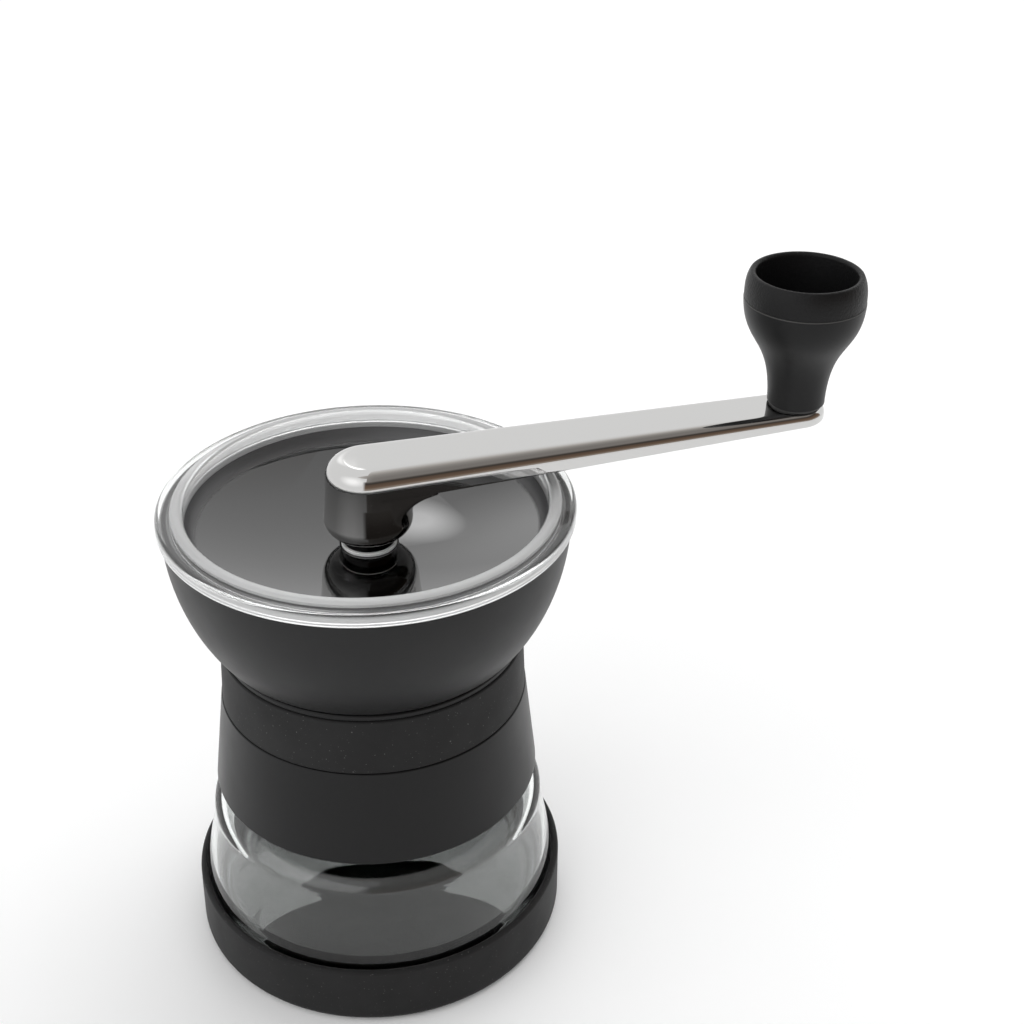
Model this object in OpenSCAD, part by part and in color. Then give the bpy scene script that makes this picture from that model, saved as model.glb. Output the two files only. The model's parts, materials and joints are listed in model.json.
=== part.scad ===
// Manual coffee grinder: a glass jar, a screw-on head that holds the hopper and the conical burrs,
// a clear dished lid and a lift-off crank. Millimetres, +Z up, origin at the centre of the base.

/* [Base boot] */
// Thickness of the boot's floor
boot_floor = 2.5; // [1.5:0.1:5]
// Thickness of the boot's wall
boot_wall = 1.8; // [1:0.1:4]
// Height of the boot
boot_h = 16; // [10:0.5:22]
// Gap between the boot and the jar
boot_clear = 0.2; // [0.1:0.05:0.5]

/* [Jar] */
// Outer diameter of the jar at its foot
jar_d = 89; // [84:0.5:110]
// Outer diameter of the jar under its shoulder
jar_waist_d = 83; // [78:0.5:100]
// Height of the jar
jar_h = 75.5; // [70:0.5:110]
// Thickness of the glass wall
jar_wall = 2.8; // [2:0.1:4]
// Thickness of the jar's floor
jar_floor = 4; // [3:0.1:8]
// Rounding of the jar's foot
jar_foot_r = 5; // [3:0.5:8]
// Height of the jar's shoulder
shoulder_h = 8; // [6:0.5:12]
// Gap between the shoulder's top and the skirt above it
shoulder_gap = 0.8; // [0.5:0.1:3]
// Outer diameter of the neck
neck_d = 66; // [64:0.5:72]

/* [Seal] */
// Thickness of the neck gasket
gasket_t = 2; // [1:0.1:3]
// Width of the gasket's ring
gasket_w = 2.4; // [1.5:0.1:2.7]

/* [Collar] */
// Gap between the collar's bore and the jar's neck
thread_clear = 0.4; // [0.3:0.05:0.8]
// Wall of the collar outside the neck
collar_wall = 1.75; // [1.5:0.05:4]
// Thickness of the collar's top plate
collar_plate_t = 4.6; // [3.5:0.1:8]
// Thickness of the lip over the grip band
lip_t = 1.4; // [0.8:0.1:2.5]
// Diameter of that lip
lip_d = 72.8; // [71:0.2:82]
// Height of the threaded bore
thread_h = 14; // [10:0.5:20]
// Height of the flared skirt below the grip band
skirt_h = 24.7; // [18:0.1:32]
// Diameter of the skirt's lower edge
skirt_d = 80.5; // [78:0.5:92]
// Wall of the skirt
skirt_wall = 2; // [1.5:0.1:3]

/* [Grip band] */
// Height of the grip band
band_h = 14.5; // [10:0.5:20]
// Thickness of the grip band
band_t = 1.6; // [1:0.1:3]
// Growth of the band's radius from its top to its foot
band_draft = 0.7; // [0:0.1:1.5]
// Gap between the band and its groove
band_clear = 0.12; // [0.05:0.01:0.3]

/* [Hopper] */
// Outer diameter of the hopper's rim
hopper_d = 96; // [90:0.5:120]
// Height of the hopper above the collar
hopper_h = 32.4; // [30:0.2:50]
// Wall of the hopper
hopper_wall = 2.2; // [1.6:0.1:3]
// Diameter of the bowl's lower edge
bowl_foot_d = 73.4; // [71:0.2:80]
// Diameter of the foot that stands on the collar
foot_d = 70.5; // [68:0.5:72]
// Height of the shadow gap round that foot
foot_gap = 0.5; // [0.3:0.1:1.5]
// Depth of the funnel inside the bowl
funnel_h = 11; // [8:0.5:14]
// Diameter where the funnel meets the bowl
funnel_d = 80; // [76:0.5:84]
// Reach of the bowl's lower curve past the funnel's edge
bowl_fullness = 2.2; // [1.8:0.1:4]
// Thickness of the ledge over the burrs
ledge_t = 3; // [2:0.1:5]
// Width of that ledge
ledge_w = 2.5; // [2:0.1:4]
// Wall of the burr housing
housing_wall = 2.5; // [2:0.1:3.5]
// Gap between the housing and the collar's plate
housing_clear = 0.3; // [0.2:0.05:0.6]

/* [Hopper screws] */
// Number of screws that hold the hopper to the collar
screw_count = 3; // [3:1:4]
// Radius of the screw circle
screw_circle_r = 27; // [26.8:0.1:27.4]
// Diameter of a screw's shank
screw_d = 2.8; // [2:0.1:3.2]
// Length of a screw under its head
screw_l = 8; // [7:0.5:8.5]
// Diameter of a screw's head
screw_head_d = 5.5; // [4.5:0.1:6]
// Height of a screw's head
screw_head_h = 2; // [1.4:0.1:2.6]
// Gap round a screw's shank
screw_clear = 0.2; // [0.1:0.05:0.4]

/* [Burrs] */
// Outer diameter of the fixed burr
burr_d = 40; // [39:0.5:44]
// Gap between the fixed burr and its housing
burr_clear = 0.2; // [0.1:0.05:0.4]
// Height of the fixed burr
outer_burr_h = 19; // [16:0.5:24]
// Radius inside the fixed burr's teeth at the foot
outer_tip_r = 16.9; // [16.6:0.1:17.2]
// Radius inside the fixed burr's teeth at the top
outer_top_r = 14; // [13:0.1:15]
// Number of teeth on the fixed burr
outer_teeth = 24; // [16:1:32]
// Height of the turning burr
inner_burr_h = 14; // [12:0.5:15]
// Gap between the two burrs at the foot
grind_gap = 0.5; // [0.3:0.05:0.9]
// Radius of the turning burr's teeth at the top
inner_top_r = 10; // [9.6:0.1:11]
// Number of teeth on the turning burr
inner_teeth = 20; // [12:1:28]
// Depth of the teeth at the foot
fine_depth = 0.6; // [0.4:0.05:0.9]
// Depth of the teeth at the top
coarse_depth = 1.8; // [1.2:0.1:2]
// Twist of the teeth in degrees for each millimetre of height
tooth_twist = 2.5; // [0:0.1:4]
// Thickness of the retainer's plate
retainer_t = 2.5; // [2:0.1:4]
// Height of the retainer's skirt
retainer_h = 8; // [5:0.5:12]
// Wall of the retainer's skirt
retainer_wall = 2.3; // [1.6:0.1:3]
// Gap between the retainer and the housing
retainer_clear = 0.2; // [0.1:0.05:0.4]
// Gap between the turning burr and the retainer's opening
retainer_gap = 0.8; // [0.5:0.1:1.2]

/* [Bridge and bushings] */
// Thickness of the bridge's ring
bridge_t = 3; // [2.5:0.1:5]
// Width of the bridge's ring
bridge_ring_w = 3; // [2.5:0.1:4]
// Number of arms
bridge_arms = 3; // [2:1:4]
// Width of an arm
bridge_arm_w = 4; // [3:0.1:6]
// Height of an arm
bridge_arm_h = 6; // [4:0.5:7]
// Height of the bridge's hub
bridge_hub_h = 16; // [15:0.5:18]
// Wall of the bridge's hub
bridge_hub_wall = 2.5; // [2:0.1:3]
// Drop of the hub below the bridge's ring
bridge_drop = 2; // [1:0.1:2.5]
// Wall of a bushing
bushing_wall = 1.45; // [1:0.05:2]
// Length of a bushing's sleeve
bushing_l = 7; // [5:0.5:7.5]
// Thickness of a bushing's flange
bushing_flange_t = 1; // [0.8:0.1:1.5]
// Reach of that flange past the sleeve
bushing_flange_w = 1.5; // [1:0.1:2]
// Gap between a bushing and the hub
bushing_clear = 0.05; // [0.02:0.01:0.1]
// Running gap between the shaft and what turns or slides on it
run_clear = 0.05; // [0.02:0.01:0.1]

/* [Shaft and adjuster] */
// Diameter of the drive shaft
shaft_d = 8; // [7:0.1:8.5]
// Length of the shaft below the adjuster
shaft_tail = 2.5; // [2.2:0.1:6]
// Length of the hex drive at the shaft's top
hex_l = 22; // [18:0.5:24]
// Width across the flats that carry the driver
flat_w = 6.4; // [5.4:0.1:6.6]
// Thickness of the thrust and spring washers
washer_t = 0.8; // [0.5:0.1:1]
// Width of those washers' rings
washer_w = 2.4; // [2:0.1:2.6]
// Thickness of the retaining clip
clip_t = 0.8; // [0.6:0.1:1.2]
// Depth of the clip's groove
clip_depth = 0.6; // [0.4:0.05:0.8]
// Reach of the clip past the shaft
clip_w = 2.4; // [1.6:0.1:3]
// Thickness of the burr driver
driver_t = 1.5; // [1:0.1:2.5]
// Diameter of the burr driver
driver_d = 20; // [16:0.5:24]
// Height of the adjuster
adjuster_h = 8.5; // [6:0.5:10]
// Diameter of the adjuster over its lobes
adjuster_d = 19; // [17:0.5:24]
// Number of lobes on the adjuster
adjuster_lobes = 6; // [5:1:8]
// Diameter of a lobe
lobe_d = 5; // [4:0.1:6]

/* [Spring] */
// Length of the spring in its seat
spring_l = 10; // [9:0.5:11]
// Diameter of the spring's wire
wire_d = 1.2; // [1:0.05:1.3]
// Number of turns
spring_turns = 4.5; // [3.5:0.5:4.5]
// Gap between the spring and the shaft or the burr's seat
spring_clear = 0.6; // [0.5:0.05:0.9]

/* [Lid] */
// Thickness of the lid's flange
lid_t = 3; // [2:0.1:5]
// Reach of the lid past the hopper's rim
lid_reach = 1; // [0.4:0.1:2]
// Gap between the lid's spigot and the hopper
lid_clear = 0.4; // [0.3:0.05:0.8]
// Wall of the spigot
spigot_wall = 2.8; // [2:0.1:3.4]
// Depth of the spigot below the flange
spigot_h = 5; // [4:0.5:8]
// Rounding of the flange's upper edge
lid_round = 1.1; // [0.4:0.1:1.8]
// Width of the raised bead round the dish
bead_w = 3; // [2.5:0.1:3.4]
// Height of that bead above the flange
bead_h = 1.2; // [0.6:0.1:1.2]
// Step from the flange down to the dish
dish_step = 3.5; // [2.5:0.1:5]
// Depth of the dish's middle below the flange's top
dish_depth = 15.6; // [12:0.1:17]
// Thickness of the dish
dish_t = 2.2; // [1.6:0.1:3]

/* [Lid grommet] */
// Gap between the grommet and the shaft
grommet_clear = 0.5; // [0.3:0.05:0.8]
// Wall of the grommet in the lid's hole
grommet_wall = 0.8; // [0.6:0.05:1.5]
// Gap between the grommet's waist and the lid's hole
grommet_fit = 0.15; // [0.05:0.05:0.3]
// Reach of the grommet's upper flange past its waist
grommet_top_w = 0.9; // [0.6:0.1:1.4]
// Height of the upper flange
grommet_top_h = 3; // [2:0.1:3.3]
// Reach of the grommet's lower flange past its waist
grommet_foot_w = 1.3; // [0.8:0.1:2]
// Height of the lower flange
grommet_foot_h = 1.4; // [1:0.1:2]
// Gap between the grommet and the curved dish
grommet_seat = 0.3; // [0.2:0.05:0.5]

/* [Crank] */
// Distance from the shaft's axis to the knob's axis
crank_l = 108.1; // [85:0.1:140]
// Height of the crank's top above the lid's top
crank_rise = 11; // [9:0.5:20]
// Half width of the arm at the hub
arm_hub_r = 9.7; // [8.5:0.1:12]
// Half width of the arm at the knob
arm_tip_r = 7.3; // [6.5:0.1:9]
// Thickness of the arm at the hub
arm_hub_t = 7.3; // [6:0.1:8]
// Thickness of the arm at the knob
arm_tip_t = 3.8; // [3:0.1:6]
// Rounding of the arm's top edge at the hub
arm_hub_round = 4; // [2:0.1:5]
// Rounding of the arm's top edge at the knob
arm_tip_round = 2.2; // [1:0.1:2.8]
// Diameter of the hub
hub_d = 21.4; // [20:0.1:25]
// Draft of the hub's radius from its middle to its top
hub_draft = 0.7; // [0:0.1:1]
// Rounding of the hub's foot
hub_foot_r = 4; // [3:0.1:5]
// Radius of the fillet between the hub and the arm
hub_fillet = 8.3; // [4:0.1:8.5]
// Diameter of the neck under the hub
hub_neck_d = 12.4; // [11:0.1:16]
// Height of that neck
hub_neck_h = 2.5; // [1:0.1:4]
// Solid metal over the hex socket
socket_roof = 5.5; // [4:0.1:8]
// Gap between the hex socket and the shaft's hex
socket_clear = 0.15; // [0.1:0.01:0.3]

/* [Hub ring] */
// Thickness of the bright ring under the hub
ring_t = 0.9; // [0.6:0.1:2]
// Wall of that ring
ring_w = 2.3; // [1.6:0.1:2.6]
// Gap between the ring and the shaft
ring_bore_clear = 0.3; // [0.2:0.05:0.5]
// Gap between the ring and the grommet
ring_gap = 0.3; // [0.2:0.05:0.6]

/* [Knob] */
// Height of the knob
knob_h = 34.2; // [28:0.1:44]
// Largest diameter of the knob
knob_d = 29.6; // [27:0.1:36]
// Diameter of the knob's foot
knob_foot_d = 14.2; // [12:0.1:14.4]
// Height of the seam between the stem and the rim ring
seam_h = 27.6; // [22:0.1:30]
// Wall of the knob at the cup's mouth
cup_wall = 2.6; // [2.4:0.1:3.5]
// Height of the cup's floor
cup_floor_h = 16; // [14:0.1:18]
// Width of the seam groove
seam_gap = 0.15; // [0.05:0.05:0.3]
// Depth of the rim ring's spigot
rim_spigot_h = 3; // [2:0.1:4]
// Wall of the rim ring's spigot
rim_spigot_wall = 0.9; // [0.6:0.05:1]
// Gap round that spigot
rim_clear = 0.1; // [0.05:0.01:0.2]
// Thickness of the washer under the knob
knob_washer_t = 0.6; // [0.4:0.1:1.5]
// Diameter of the pin that the knob turns on
pin_d = 6; // [5:0.1:7]
// Diameter of the pin's end in the arm
pin_end_d = 4.5; // [3.5:0.1:4.8]
// Diameter of the pin's head
pin_head_d = 10; // [8.5:0.1:12]
// Height of the pin's head
pin_head_h = 2.6; // [2:0.1:4]
// Play of the knob along its pin
pin_play = 0.2; // [0.1:0.05:0.4]

/* [Hidden] */
$fn = 96;

// Steps along one free curve of an outline
curve_steps = 14;
// Overlap that makes cuts clean
cut = 0.5;

// Heights of the jar and the collar
jar_z = boot_floor;
neck_top_z = jar_z + jar_h;
plate_z = neck_top_z + gasket_t;
collar_top_z = plate_z + collar_plate_t;
band_top_z = collar_top_z - lip_t;
band_foot_z = band_top_z - band_h;
skirt_foot_z = band_foot_z - skirt_h;
shoulder_top_z = skirt_foot_z - shoulder_gap;
waist_z = shoulder_top_z - shoulder_h;
boot_top_z = boot_h;

// Radii of the jar and the collar
neck_r = neck_d / 2;
neck_bore_r = neck_r - jar_wall;
collar_bore_r = neck_r + thread_clear;
seat_top_r = collar_bore_r + collar_wall;
seat_foot_r = seat_top_r + band_draft;
skirt_top_r = seat_foot_r + band_t;
skirt_foot_r = skirt_d / 2;

// Heights of the hopper and the burrs
ledge_z = collar_top_z - foot_gap;
throat_z = ledge_z + ledge_t;
rim_z = collar_top_z + hopper_h;
bridge_z = ledge_z - bridge_t;
outer_burr_z = bridge_z - outer_burr_h;
retainer_z = outer_burr_z - retainer_t;
inner_burr_z = outer_burr_z;
inner_burr_top_z = inner_burr_z + inner_burr_h;
driver_z = inner_burr_z - driver_t;
adjuster_z = driver_z - adjuster_h;
shaft_foot_z = adjuster_z - shaft_tail;

// Radii of the hopper and the burrs
rim_r = hopper_d / 2;
bowl_r = rim_r - hopper_wall;
burr_r = burr_d / 2;
housing_r = burr_r + burr_clear;
housing_out_r = housing_r + housing_wall;
throat_r = housing_r - ledge_w;
inner_tip_r = outer_tip_r - grind_gap;

// The bridge, its bushings and the shaft's stack
shaft_r = shaft_d / 2;
run_r = shaft_r + run_clear;
bushing_r = run_r + bushing_wall;
bushing_flange_r = bushing_r + bushing_flange_w;
bridge_bore_r = bushing_r + bushing_clear;
bridge_hub_r = bridge_bore_r + bridge_hub_wall;
bridge_r = burr_r;
bridge_hub_z = bridge_z - bridge_drop;
bridge_top_z = bridge_hub_z + bridge_hub_h;
thrust_z = bridge_top_z + bushing_flange_t;
clip_z = thrust_z + washer_t;
spring_washer_z = bridge_hub_z - bushing_flange_t - washer_t;
spring_foot_z = spring_washer_z - spring_l;
wire_r = wire_d / 2;
// A ring of eight straight chords dips inside its circle, so the coil is drawn that much wider
coil_dip = 1 / cos(180 / 8);
coil_r = (shaft_r + spring_clear + wire_r) * coil_dip;
spring_seat_r = coil_r + wire_r + spring_clear;
clip_groove_r = shaft_r - clip_depth;

// Heights of the lid, the grommet and the crank
lid_top_z = rim_z + lid_t;
lid_r = rim_r + lid_reach;
spigot_r = bowl_r - lid_clear;
// The bowl's inside is straight down to just below the spigot
bowl_edge_z = rim_z - spigot_h - lid_clear;
dish_r = spigot_r - spigot_wall;
dish_edge_z = lid_top_z - dish_step;
dish_z = lid_top_z - dish_depth;
dish_sag = dish_edge_z - dish_z;
dish_ball_r = (dish_r * dish_r + dish_sag * dish_sag) / (2 * dish_sag);
grommet_bore_r = shaft_r + grommet_clear;
grommet_r = grommet_bore_r + grommet_wall;
grommet_hole_r = grommet_r + grommet_fit;
grommet_top_r = grommet_r + grommet_top_w;
grommet_foot_r = grommet_r + grommet_foot_w;
grommet_seat_z = dish_z + grommet_seat;
grommet_top_z = grommet_seat_z + grommet_top_h;
ring_z = grommet_top_z + ring_gap;
ring_bore_r = shaft_r + ring_bore_clear;
ring_r = ring_bore_r + ring_w;
hub_z = ring_z + ring_t;
hub_foot_z = hub_z + hub_neck_h;
hub_r = hub_d / 2;
crank_z = lid_top_z + crank_rise;
shaft_top_z = crank_z - socket_roof;
hex_z = shaft_top_z - hex_l;

// Heights and radii of the knob
knob_z = crank_z + knob_washer_t;
knob_r = knob_d / 2;
knob_foot_r = knob_foot_d / 2;
knob_top_z = knob_z + knob_h;
cup_r = knob_r - cup_wall;
cup_floor_z = knob_z + cup_floor_h;
seam_z = knob_z + seam_h;
pin_r = pin_d / 2;
pin_head_z = cup_floor_z + pin_play;

// Points of one cubic curve from p0 to p3
function curve(p0, p1, p2, p3, steps = curve_steps) =
    [for (i = [0 : steps])
        let (t = i / steps, u = 1 - t)
        u * u * u * p0 + 3 * u * u * t * p1 + 3 * u * t * t * p2 + t * t * t * p3];

// Points of a circular arc about a centre
function arc(centre, r, from, to, steps = curve_steps) =
    [for (i = [0 : steps])
        let (a = from + (to - from) * i / steps)
        centre + r * [cos(a), sin(a)]];

// A ring between two radii
module ring(r_out, r_in, h) {
    difference() {
        cylinder(r = r_out, h = h);
        translate([0, 0, -cut]) cylinder(r = r_in, h = h + 2 * cut);
    }
}

// Half outline of the jar's outside, from the centre of its foot to its neck's top
function jar_outside() = concat(
    [[0, jar_z], [jar_d / 2 - jar_foot_r, jar_z]],
    arc([jar_d / 2 - jar_foot_r, jar_z + jar_foot_r], jar_foot_r, -80, 0, 6),
    [[jar_d / 2, boot_top_z + boot_clear]],
    curve([jar_waist_d / 2, waist_z], [jar_waist_d / 2, waist_z + shoulder_h * 0.55],
          [neck_r, shoulder_top_z - shoulder_h * 0.45], [neck_r, shoulder_top_z]),
    [[neck_r, neck_top_z], [0, neck_top_z]]);

// Half outline of the jar's inside
function jar_inside() = concat(
    [[0, jar_z + jar_floor], [jar_d / 2 - jar_wall - jar_foot_r, jar_z + jar_floor]],
    arc([jar_d / 2 - jar_wall - jar_foot_r, jar_z + jar_floor + jar_foot_r], jar_foot_r, -80, 0, 6),
    [[jar_d / 2 - jar_wall, boot_top_z + boot_clear]],
    curve([jar_waist_d / 2 - jar_wall, waist_z - jar_wall / 2],
          [jar_waist_d / 2 - jar_wall, waist_z + shoulder_h * 0.55 - jar_wall],
          [neck_bore_r, shoulder_top_z - shoulder_h * 0.45 - jar_wall / 2],
          [neck_bore_r, shoulder_top_z - jar_wall / 2]),
    [[neck_bore_r, neck_top_z + cut], [0, neck_top_z + cut]]);

module base_boot() {
    inner_r = jar_d / 2 + boot_clear;
    outer_r = inner_r + boot_wall;
    edge_r = boot_wall / 2;
    color("#1c1c1d")
    rotate_extrude()
    polygon(concat(
        [[0, 0]],
        arc([outer_r - boot_floor, boot_floor], boot_floor, -90, 0, 6),
        arc([outer_r - edge_r, boot_top_z - edge_r], edge_r, 0, 180, 8),
        arc([inner_r - jar_foot_r, boot_floor + jar_foot_r], jar_foot_r, 0, -90, 6),
        [[0, boot_floor]]));
}

module jar() {
    color("#d9e4e2", 0.35)
    rotate_extrude()
    difference() {
        polygon(jar_outside());
        polygon(jar_inside());
    }
}

module neck_gasket() {
    color("#e6e3da")
    translate([0, 0, neck_top_z])
    ring(neck_bore_r + gasket_w, neck_bore_r, gasket_t);
}

// One position for each hopper screw
module at_screws() {
    for (i = [0 : screw_count - 1])
        rotate([0, 0, 360 * (i + 0.5) / screw_count])
        translate([screw_circle_r, 0, 0])
        children();
}

module collar() {
    color("#1b1b1c")
    difference() {
        rotate_extrude()
        polygon([
            [housing_out_r + housing_clear, collar_top_z],
            [lip_d / 2, collar_top_z],
            [lip_d / 2, band_top_z],
            [seat_top_r, band_top_z],
            [seat_foot_r, band_foot_z],
            [skirt_top_r, band_foot_z],
            [skirt_foot_r, skirt_foot_z],
            [skirt_foot_r - skirt_wall, skirt_foot_z],
            [collar_bore_r, plate_z - thread_h],
            [collar_bore_r, plate_z],
            [housing_out_r + housing_clear, plate_z]]);
        at_screws()
        translate([0, 0, plate_z - cut])
        cylinder(d = screw_d + 2 * screw_clear, h = collar_plate_t + 2 * cut);
    }
}

module grip_band() {
    edge = band_t / 4;
    top_r = seat_top_r + band_t;
    foot_r = seat_foot_r + band_t;
    top_z = band_top_z - band_clear;
    foot_z = band_foot_z + band_clear;
    color("#2a2a2b")
    rotate_extrude()
    polygon([
        [seat_top_r + band_clear, top_z],
        [top_r - edge, top_z],
        [top_r, top_z - edge],
        [foot_r, foot_z + edge],
        [foot_r - edge, foot_z],
        [seat_foot_r + band_clear, foot_z]]);
}

// Outer curve of the bowl, from its lower edge to its rim
function bowl_curve() = curve(
    [bowl_foot_d / 2, collar_top_z + foot_gap],
    [funnel_d / 2 + bowl_fullness, collar_top_z + hopper_h * 0.2],
    [rim_r - (rim_r - bowl_foot_d / 2) * 0.04, collar_top_z + hopper_h * 0.55],
    [rim_r, rim_z]);

// Height of the funnel's upper face at a radius
function funnel_z(r) = throat_z + funnel_h * (r - throat_r) / (funnel_d / 2 - throat_r);

module hopper() {
    boss_r = screw_d / 2 + screw_clear + hopper_wall / 2;
    pocket_in_r = housing_out_r;
    pocket_out_r = min(foot_d, bowl_foot_d) / 2 - hopper_wall;
    pocket_far_r = funnel_d / 2 - 2 * hopper_wall;
    inner_z = funnel_z(funnel_d / 2);
    color("#1d1d1e")
    difference() {
        rotate_extrude() {
            polygon(concat(
                bowl_curve(),
                [[bowl_r, rim_z]],
                curve([bowl_r, bowl_edge_z], [bowl_r, rim_z - hopper_h * 0.35],
                      [funnel_d / 2 + hopper_wall, inner_z + hopper_wall], [funnel_d / 2, inner_z]),
                [[throat_r, throat_z],
                 [throat_r, ledge_z],
                 [housing_r, ledge_z],
                 [housing_r, outer_burr_z],
                 [housing_out_r, outer_burr_z],
                 [housing_out_r, collar_top_z + foot_gap]]));
            translate([housing_r, collar_top_z]) square([foot_d / 2 - housing_r, foot_gap]);
        }
        difference() {
            rotate_extrude()
            polygon([
                [pocket_in_r, collar_top_z - cut],
                [pocket_out_r, collar_top_z - cut],
                [pocket_out_r, collar_top_z + foot_gap + hopper_wall],
                [pocket_far_r, funnel_z(pocket_far_r) - 1.5 * hopper_wall],
                [pocket_in_r, funnel_z(pocket_in_r) - 1.2 * hopper_wall]]);
            at_screws()
            translate([0, 0, collar_top_z - 2 * cut])
            cylinder(r = boss_r, h = hopper_h);
            translate([0, 0, collar_top_z - 2 * cut])
            cylinder(r = housing_out_r + hopper_wall / 2, h = hopper_h);
        }
        at_screws()
        translate([0, 0, collar_top_z - cut])
        cylinder(d = screw_d + 2 * screw_clear, h = screw_l - collar_plate_t + 2 * cut);
    }
}

module hopper_screws() {
    slot_w = screw_head_d / 5;
    color("#b9bbbd")
    at_screws()
    difference() {
        union() {
            translate([0, 0, plate_z - screw_head_h]) cylinder(d = screw_head_d, h = screw_head_h);
            translate([0, 0, plate_z]) cylinder(d = screw_d, h = screw_l);
        }
        for (turn = [0, 90])
            rotate([0, 0, turn])
            translate([-screw_head_d / 4, -slot_w / 2, plate_z - screw_head_h - cut])
            cube([screw_head_d / 2, slot_w, screw_head_h / 2 + cut]);
    }
}

// One level of a toothed cone: each tooth rises steeply from its root to its tip and falls away slowly
function tooth_ring(count, root_r, tip_r, z, turn) =
    [for (i = [0 : count - 1], corner = [0 : 2])
        let (share = [0, 0.25, 0.5][corner],
             r = corner == 1 ? tip_r : root_r,
             a = turn + 360 * (i + share) / count)
        [r * cos(a), r * sin(a), z]];

// Faces of a closed stack of rings, with its two ends as fans of one polygon each
function stack_faces(rings, n) = concat(
    [[for (i = [0 : n - 1]) i]],
    [for (k = [0 : rings - 2], i = [0 : n - 1], half = [0 : 1])
        let (a = k * n + i, b = k * n + (i + 1) % n)
        half == 0 ? [a, a + n, b] : [b, a + n, b + n]],
    [[for (i = [n - 1 : -1 : 0]) (rings - 1) * n + i]]);

// A cone of helical teeth, coarse at the top and fine at the foot, that overshoots both ends for a
// clean cut; depth is signed from the tips towards the roots
module toothed_cone(count, foot_r, top_r, foot_depth, top_depth, z, h, levels = 8) {
    over = cut / h;
    rings = [for (k = [0 : levels])
        let (t = k / levels * (1 + 2 * over) - over,
             tip = foot_r + (top_r - foot_r) * t,
             root = tip - foot_depth - (top_depth - foot_depth) * t)
        tooth_ring(count, root, tip, z + h * t, tooth_twist * h * t)];
    polyhedron([for (level = rings, p = level) p], stack_faces(levels + 1, 3 * count), convexity = 8);
}

module outer_burr() {
    color("#ece7da")
    difference() {
        translate([0, 0, outer_burr_z]) cylinder(r = burr_r, h = outer_burr_h);
        toothed_cone(outer_teeth, outer_tip_r, outer_top_r, -fine_depth, -coarse_depth,
                     outer_burr_z, outer_burr_h);
    }
}

module burr_retainer() {
    skirt_in_r = housing_out_r + retainer_clear;
    color("#222223")
    translate([0, 0, retainer_z]) {
        ring(skirt_in_r + retainer_wall, inner_tip_r + retainer_gap, retainer_t);
        ring(skirt_in_r + retainer_wall, skirt_in_r, retainer_t + retainer_h);
    }
}

module bearing_bridge() {
    color("#303031")
    difference() {
        union() {
            translate([0, 0, bridge_z]) ring(bridge_r, bridge_r - bridge_ring_w, bridge_t);
            translate([0, 0, bridge_hub_z]) cylinder(r = bridge_hub_r, h = bridge_hub_h);
            for (i = [0 : bridge_arms - 1])
                rotate([0, 0, 360 * i / bridge_arms]) {
                    translate([0, -bridge_arm_w / 2, bridge_z])
                    cube([bridge_r - bridge_ring_w / 2, bridge_arm_w, bridge_t]);
                    translate([0, -bridge_arm_w / 2, bridge_z])
                    cube([throat_r - burr_clear, bridge_arm_w, bridge_arm_h]);
                }
        }
        translate([0, 0, bridge_hub_z - cut]) cylinder(r = bridge_bore_r, h = bridge_hub_h + 2 * cut);
    }
}

// A flanged bushing that stands on its flange
module bushing() {
    difference() {
        union() {
            cylinder(r = bushing_flange_r, h = bushing_flange_t);
            cylinder(r = bushing_r, h = bushing_flange_t + bushing_l);
        }
        translate([0, 0, -cut]) cylinder(r = run_r, h = bushing_flange_t + bushing_l + 2 * cut);
    }
}

module upper_bushing() {
    color("#2d2d2e")
    translate([0, 0, thrust_z])
    mirror([0, 0, 1])
    bushing();
}

module lower_bushing() {
    color("#2d2d2e")
    translate([0, 0, bridge_hub_z - bushing_flange_t])
    bushing();
}

module drive_shaft() {
    flat_top_z = inner_burr_z + washer_t;
    flat_h = flat_top_z - driver_z + shaft_tail;
    color("#c2c4c6")
    difference() {
        union() {
            translate([0, 0, shaft_foot_z]) cylinder(r = shaft_r, h = hex_z - shaft_foot_z);
            translate([0, 0, hex_z]) cylinder(r = shaft_r, h = hex_l, $fn = 6);
        }
        translate([0, 0, clip_z]) ring(shaft_d, clip_groove_r, clip_t);
        for (side = [-1, 1])
            translate([side * (flat_w / 2 + shaft_r) - shaft_r, -shaft_d, flat_top_z - flat_h])
            cube([shaft_d, 2 * shaft_d, flat_h]);
    }
}

module thrust_washer() {
    color("#2d2d2e")
    translate([0, 0, thrust_z])
    ring(run_r + washer_w, run_r, washer_t);
}

module retaining_clip() {
    mouth = 1.5 * clip_groove_r;
    bore_r = clip_groove_r + run_clear;
    color("#4a4b4c")
    difference() {
        translate([0, 0, clip_z]) ring(shaft_r + clip_w, bore_r, clip_t);
        translate([0, -mouth / 2, clip_z - cut])
        cube([shaft_d, mouth, clip_t + 2 * cut]);
    }
}

module spring_washer() {
    color("#d0d2d3")
    translate([0, 0, spring_washer_z])
    ring(run_r + washer_w, run_r, washer_t);
}

// The spring: one tube of six sides along a helix of eight rings a turn
spring_rings = round(8 * spring_turns);
spring_sides = 6;
spring_seat = 0.1;
spring_rise = spring_l - wire_d - 2 * spring_seat;
function spring_centre(i) =
    let (t = i / spring_rings, a = 360 * spring_turns * t)
    [coil_r * cos(a), coil_r * sin(a), spring_foot_z + wire_r + spring_seat + spring_rise * t];
function spring_ring(i) =
    let (c = spring_centre(i), a = 360 * spring_turns * i / spring_rings)
    [for (s = [0 : spring_sides - 1])
        let (b = 360 * s / spring_sides)
        c + wire_r * (cos(b) * [cos(a), sin(a), 0] + sin(b) * [0, 0, 1])];
spring_points = [for (i = [0 : spring_rings]) spring_ring(i)];
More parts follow.
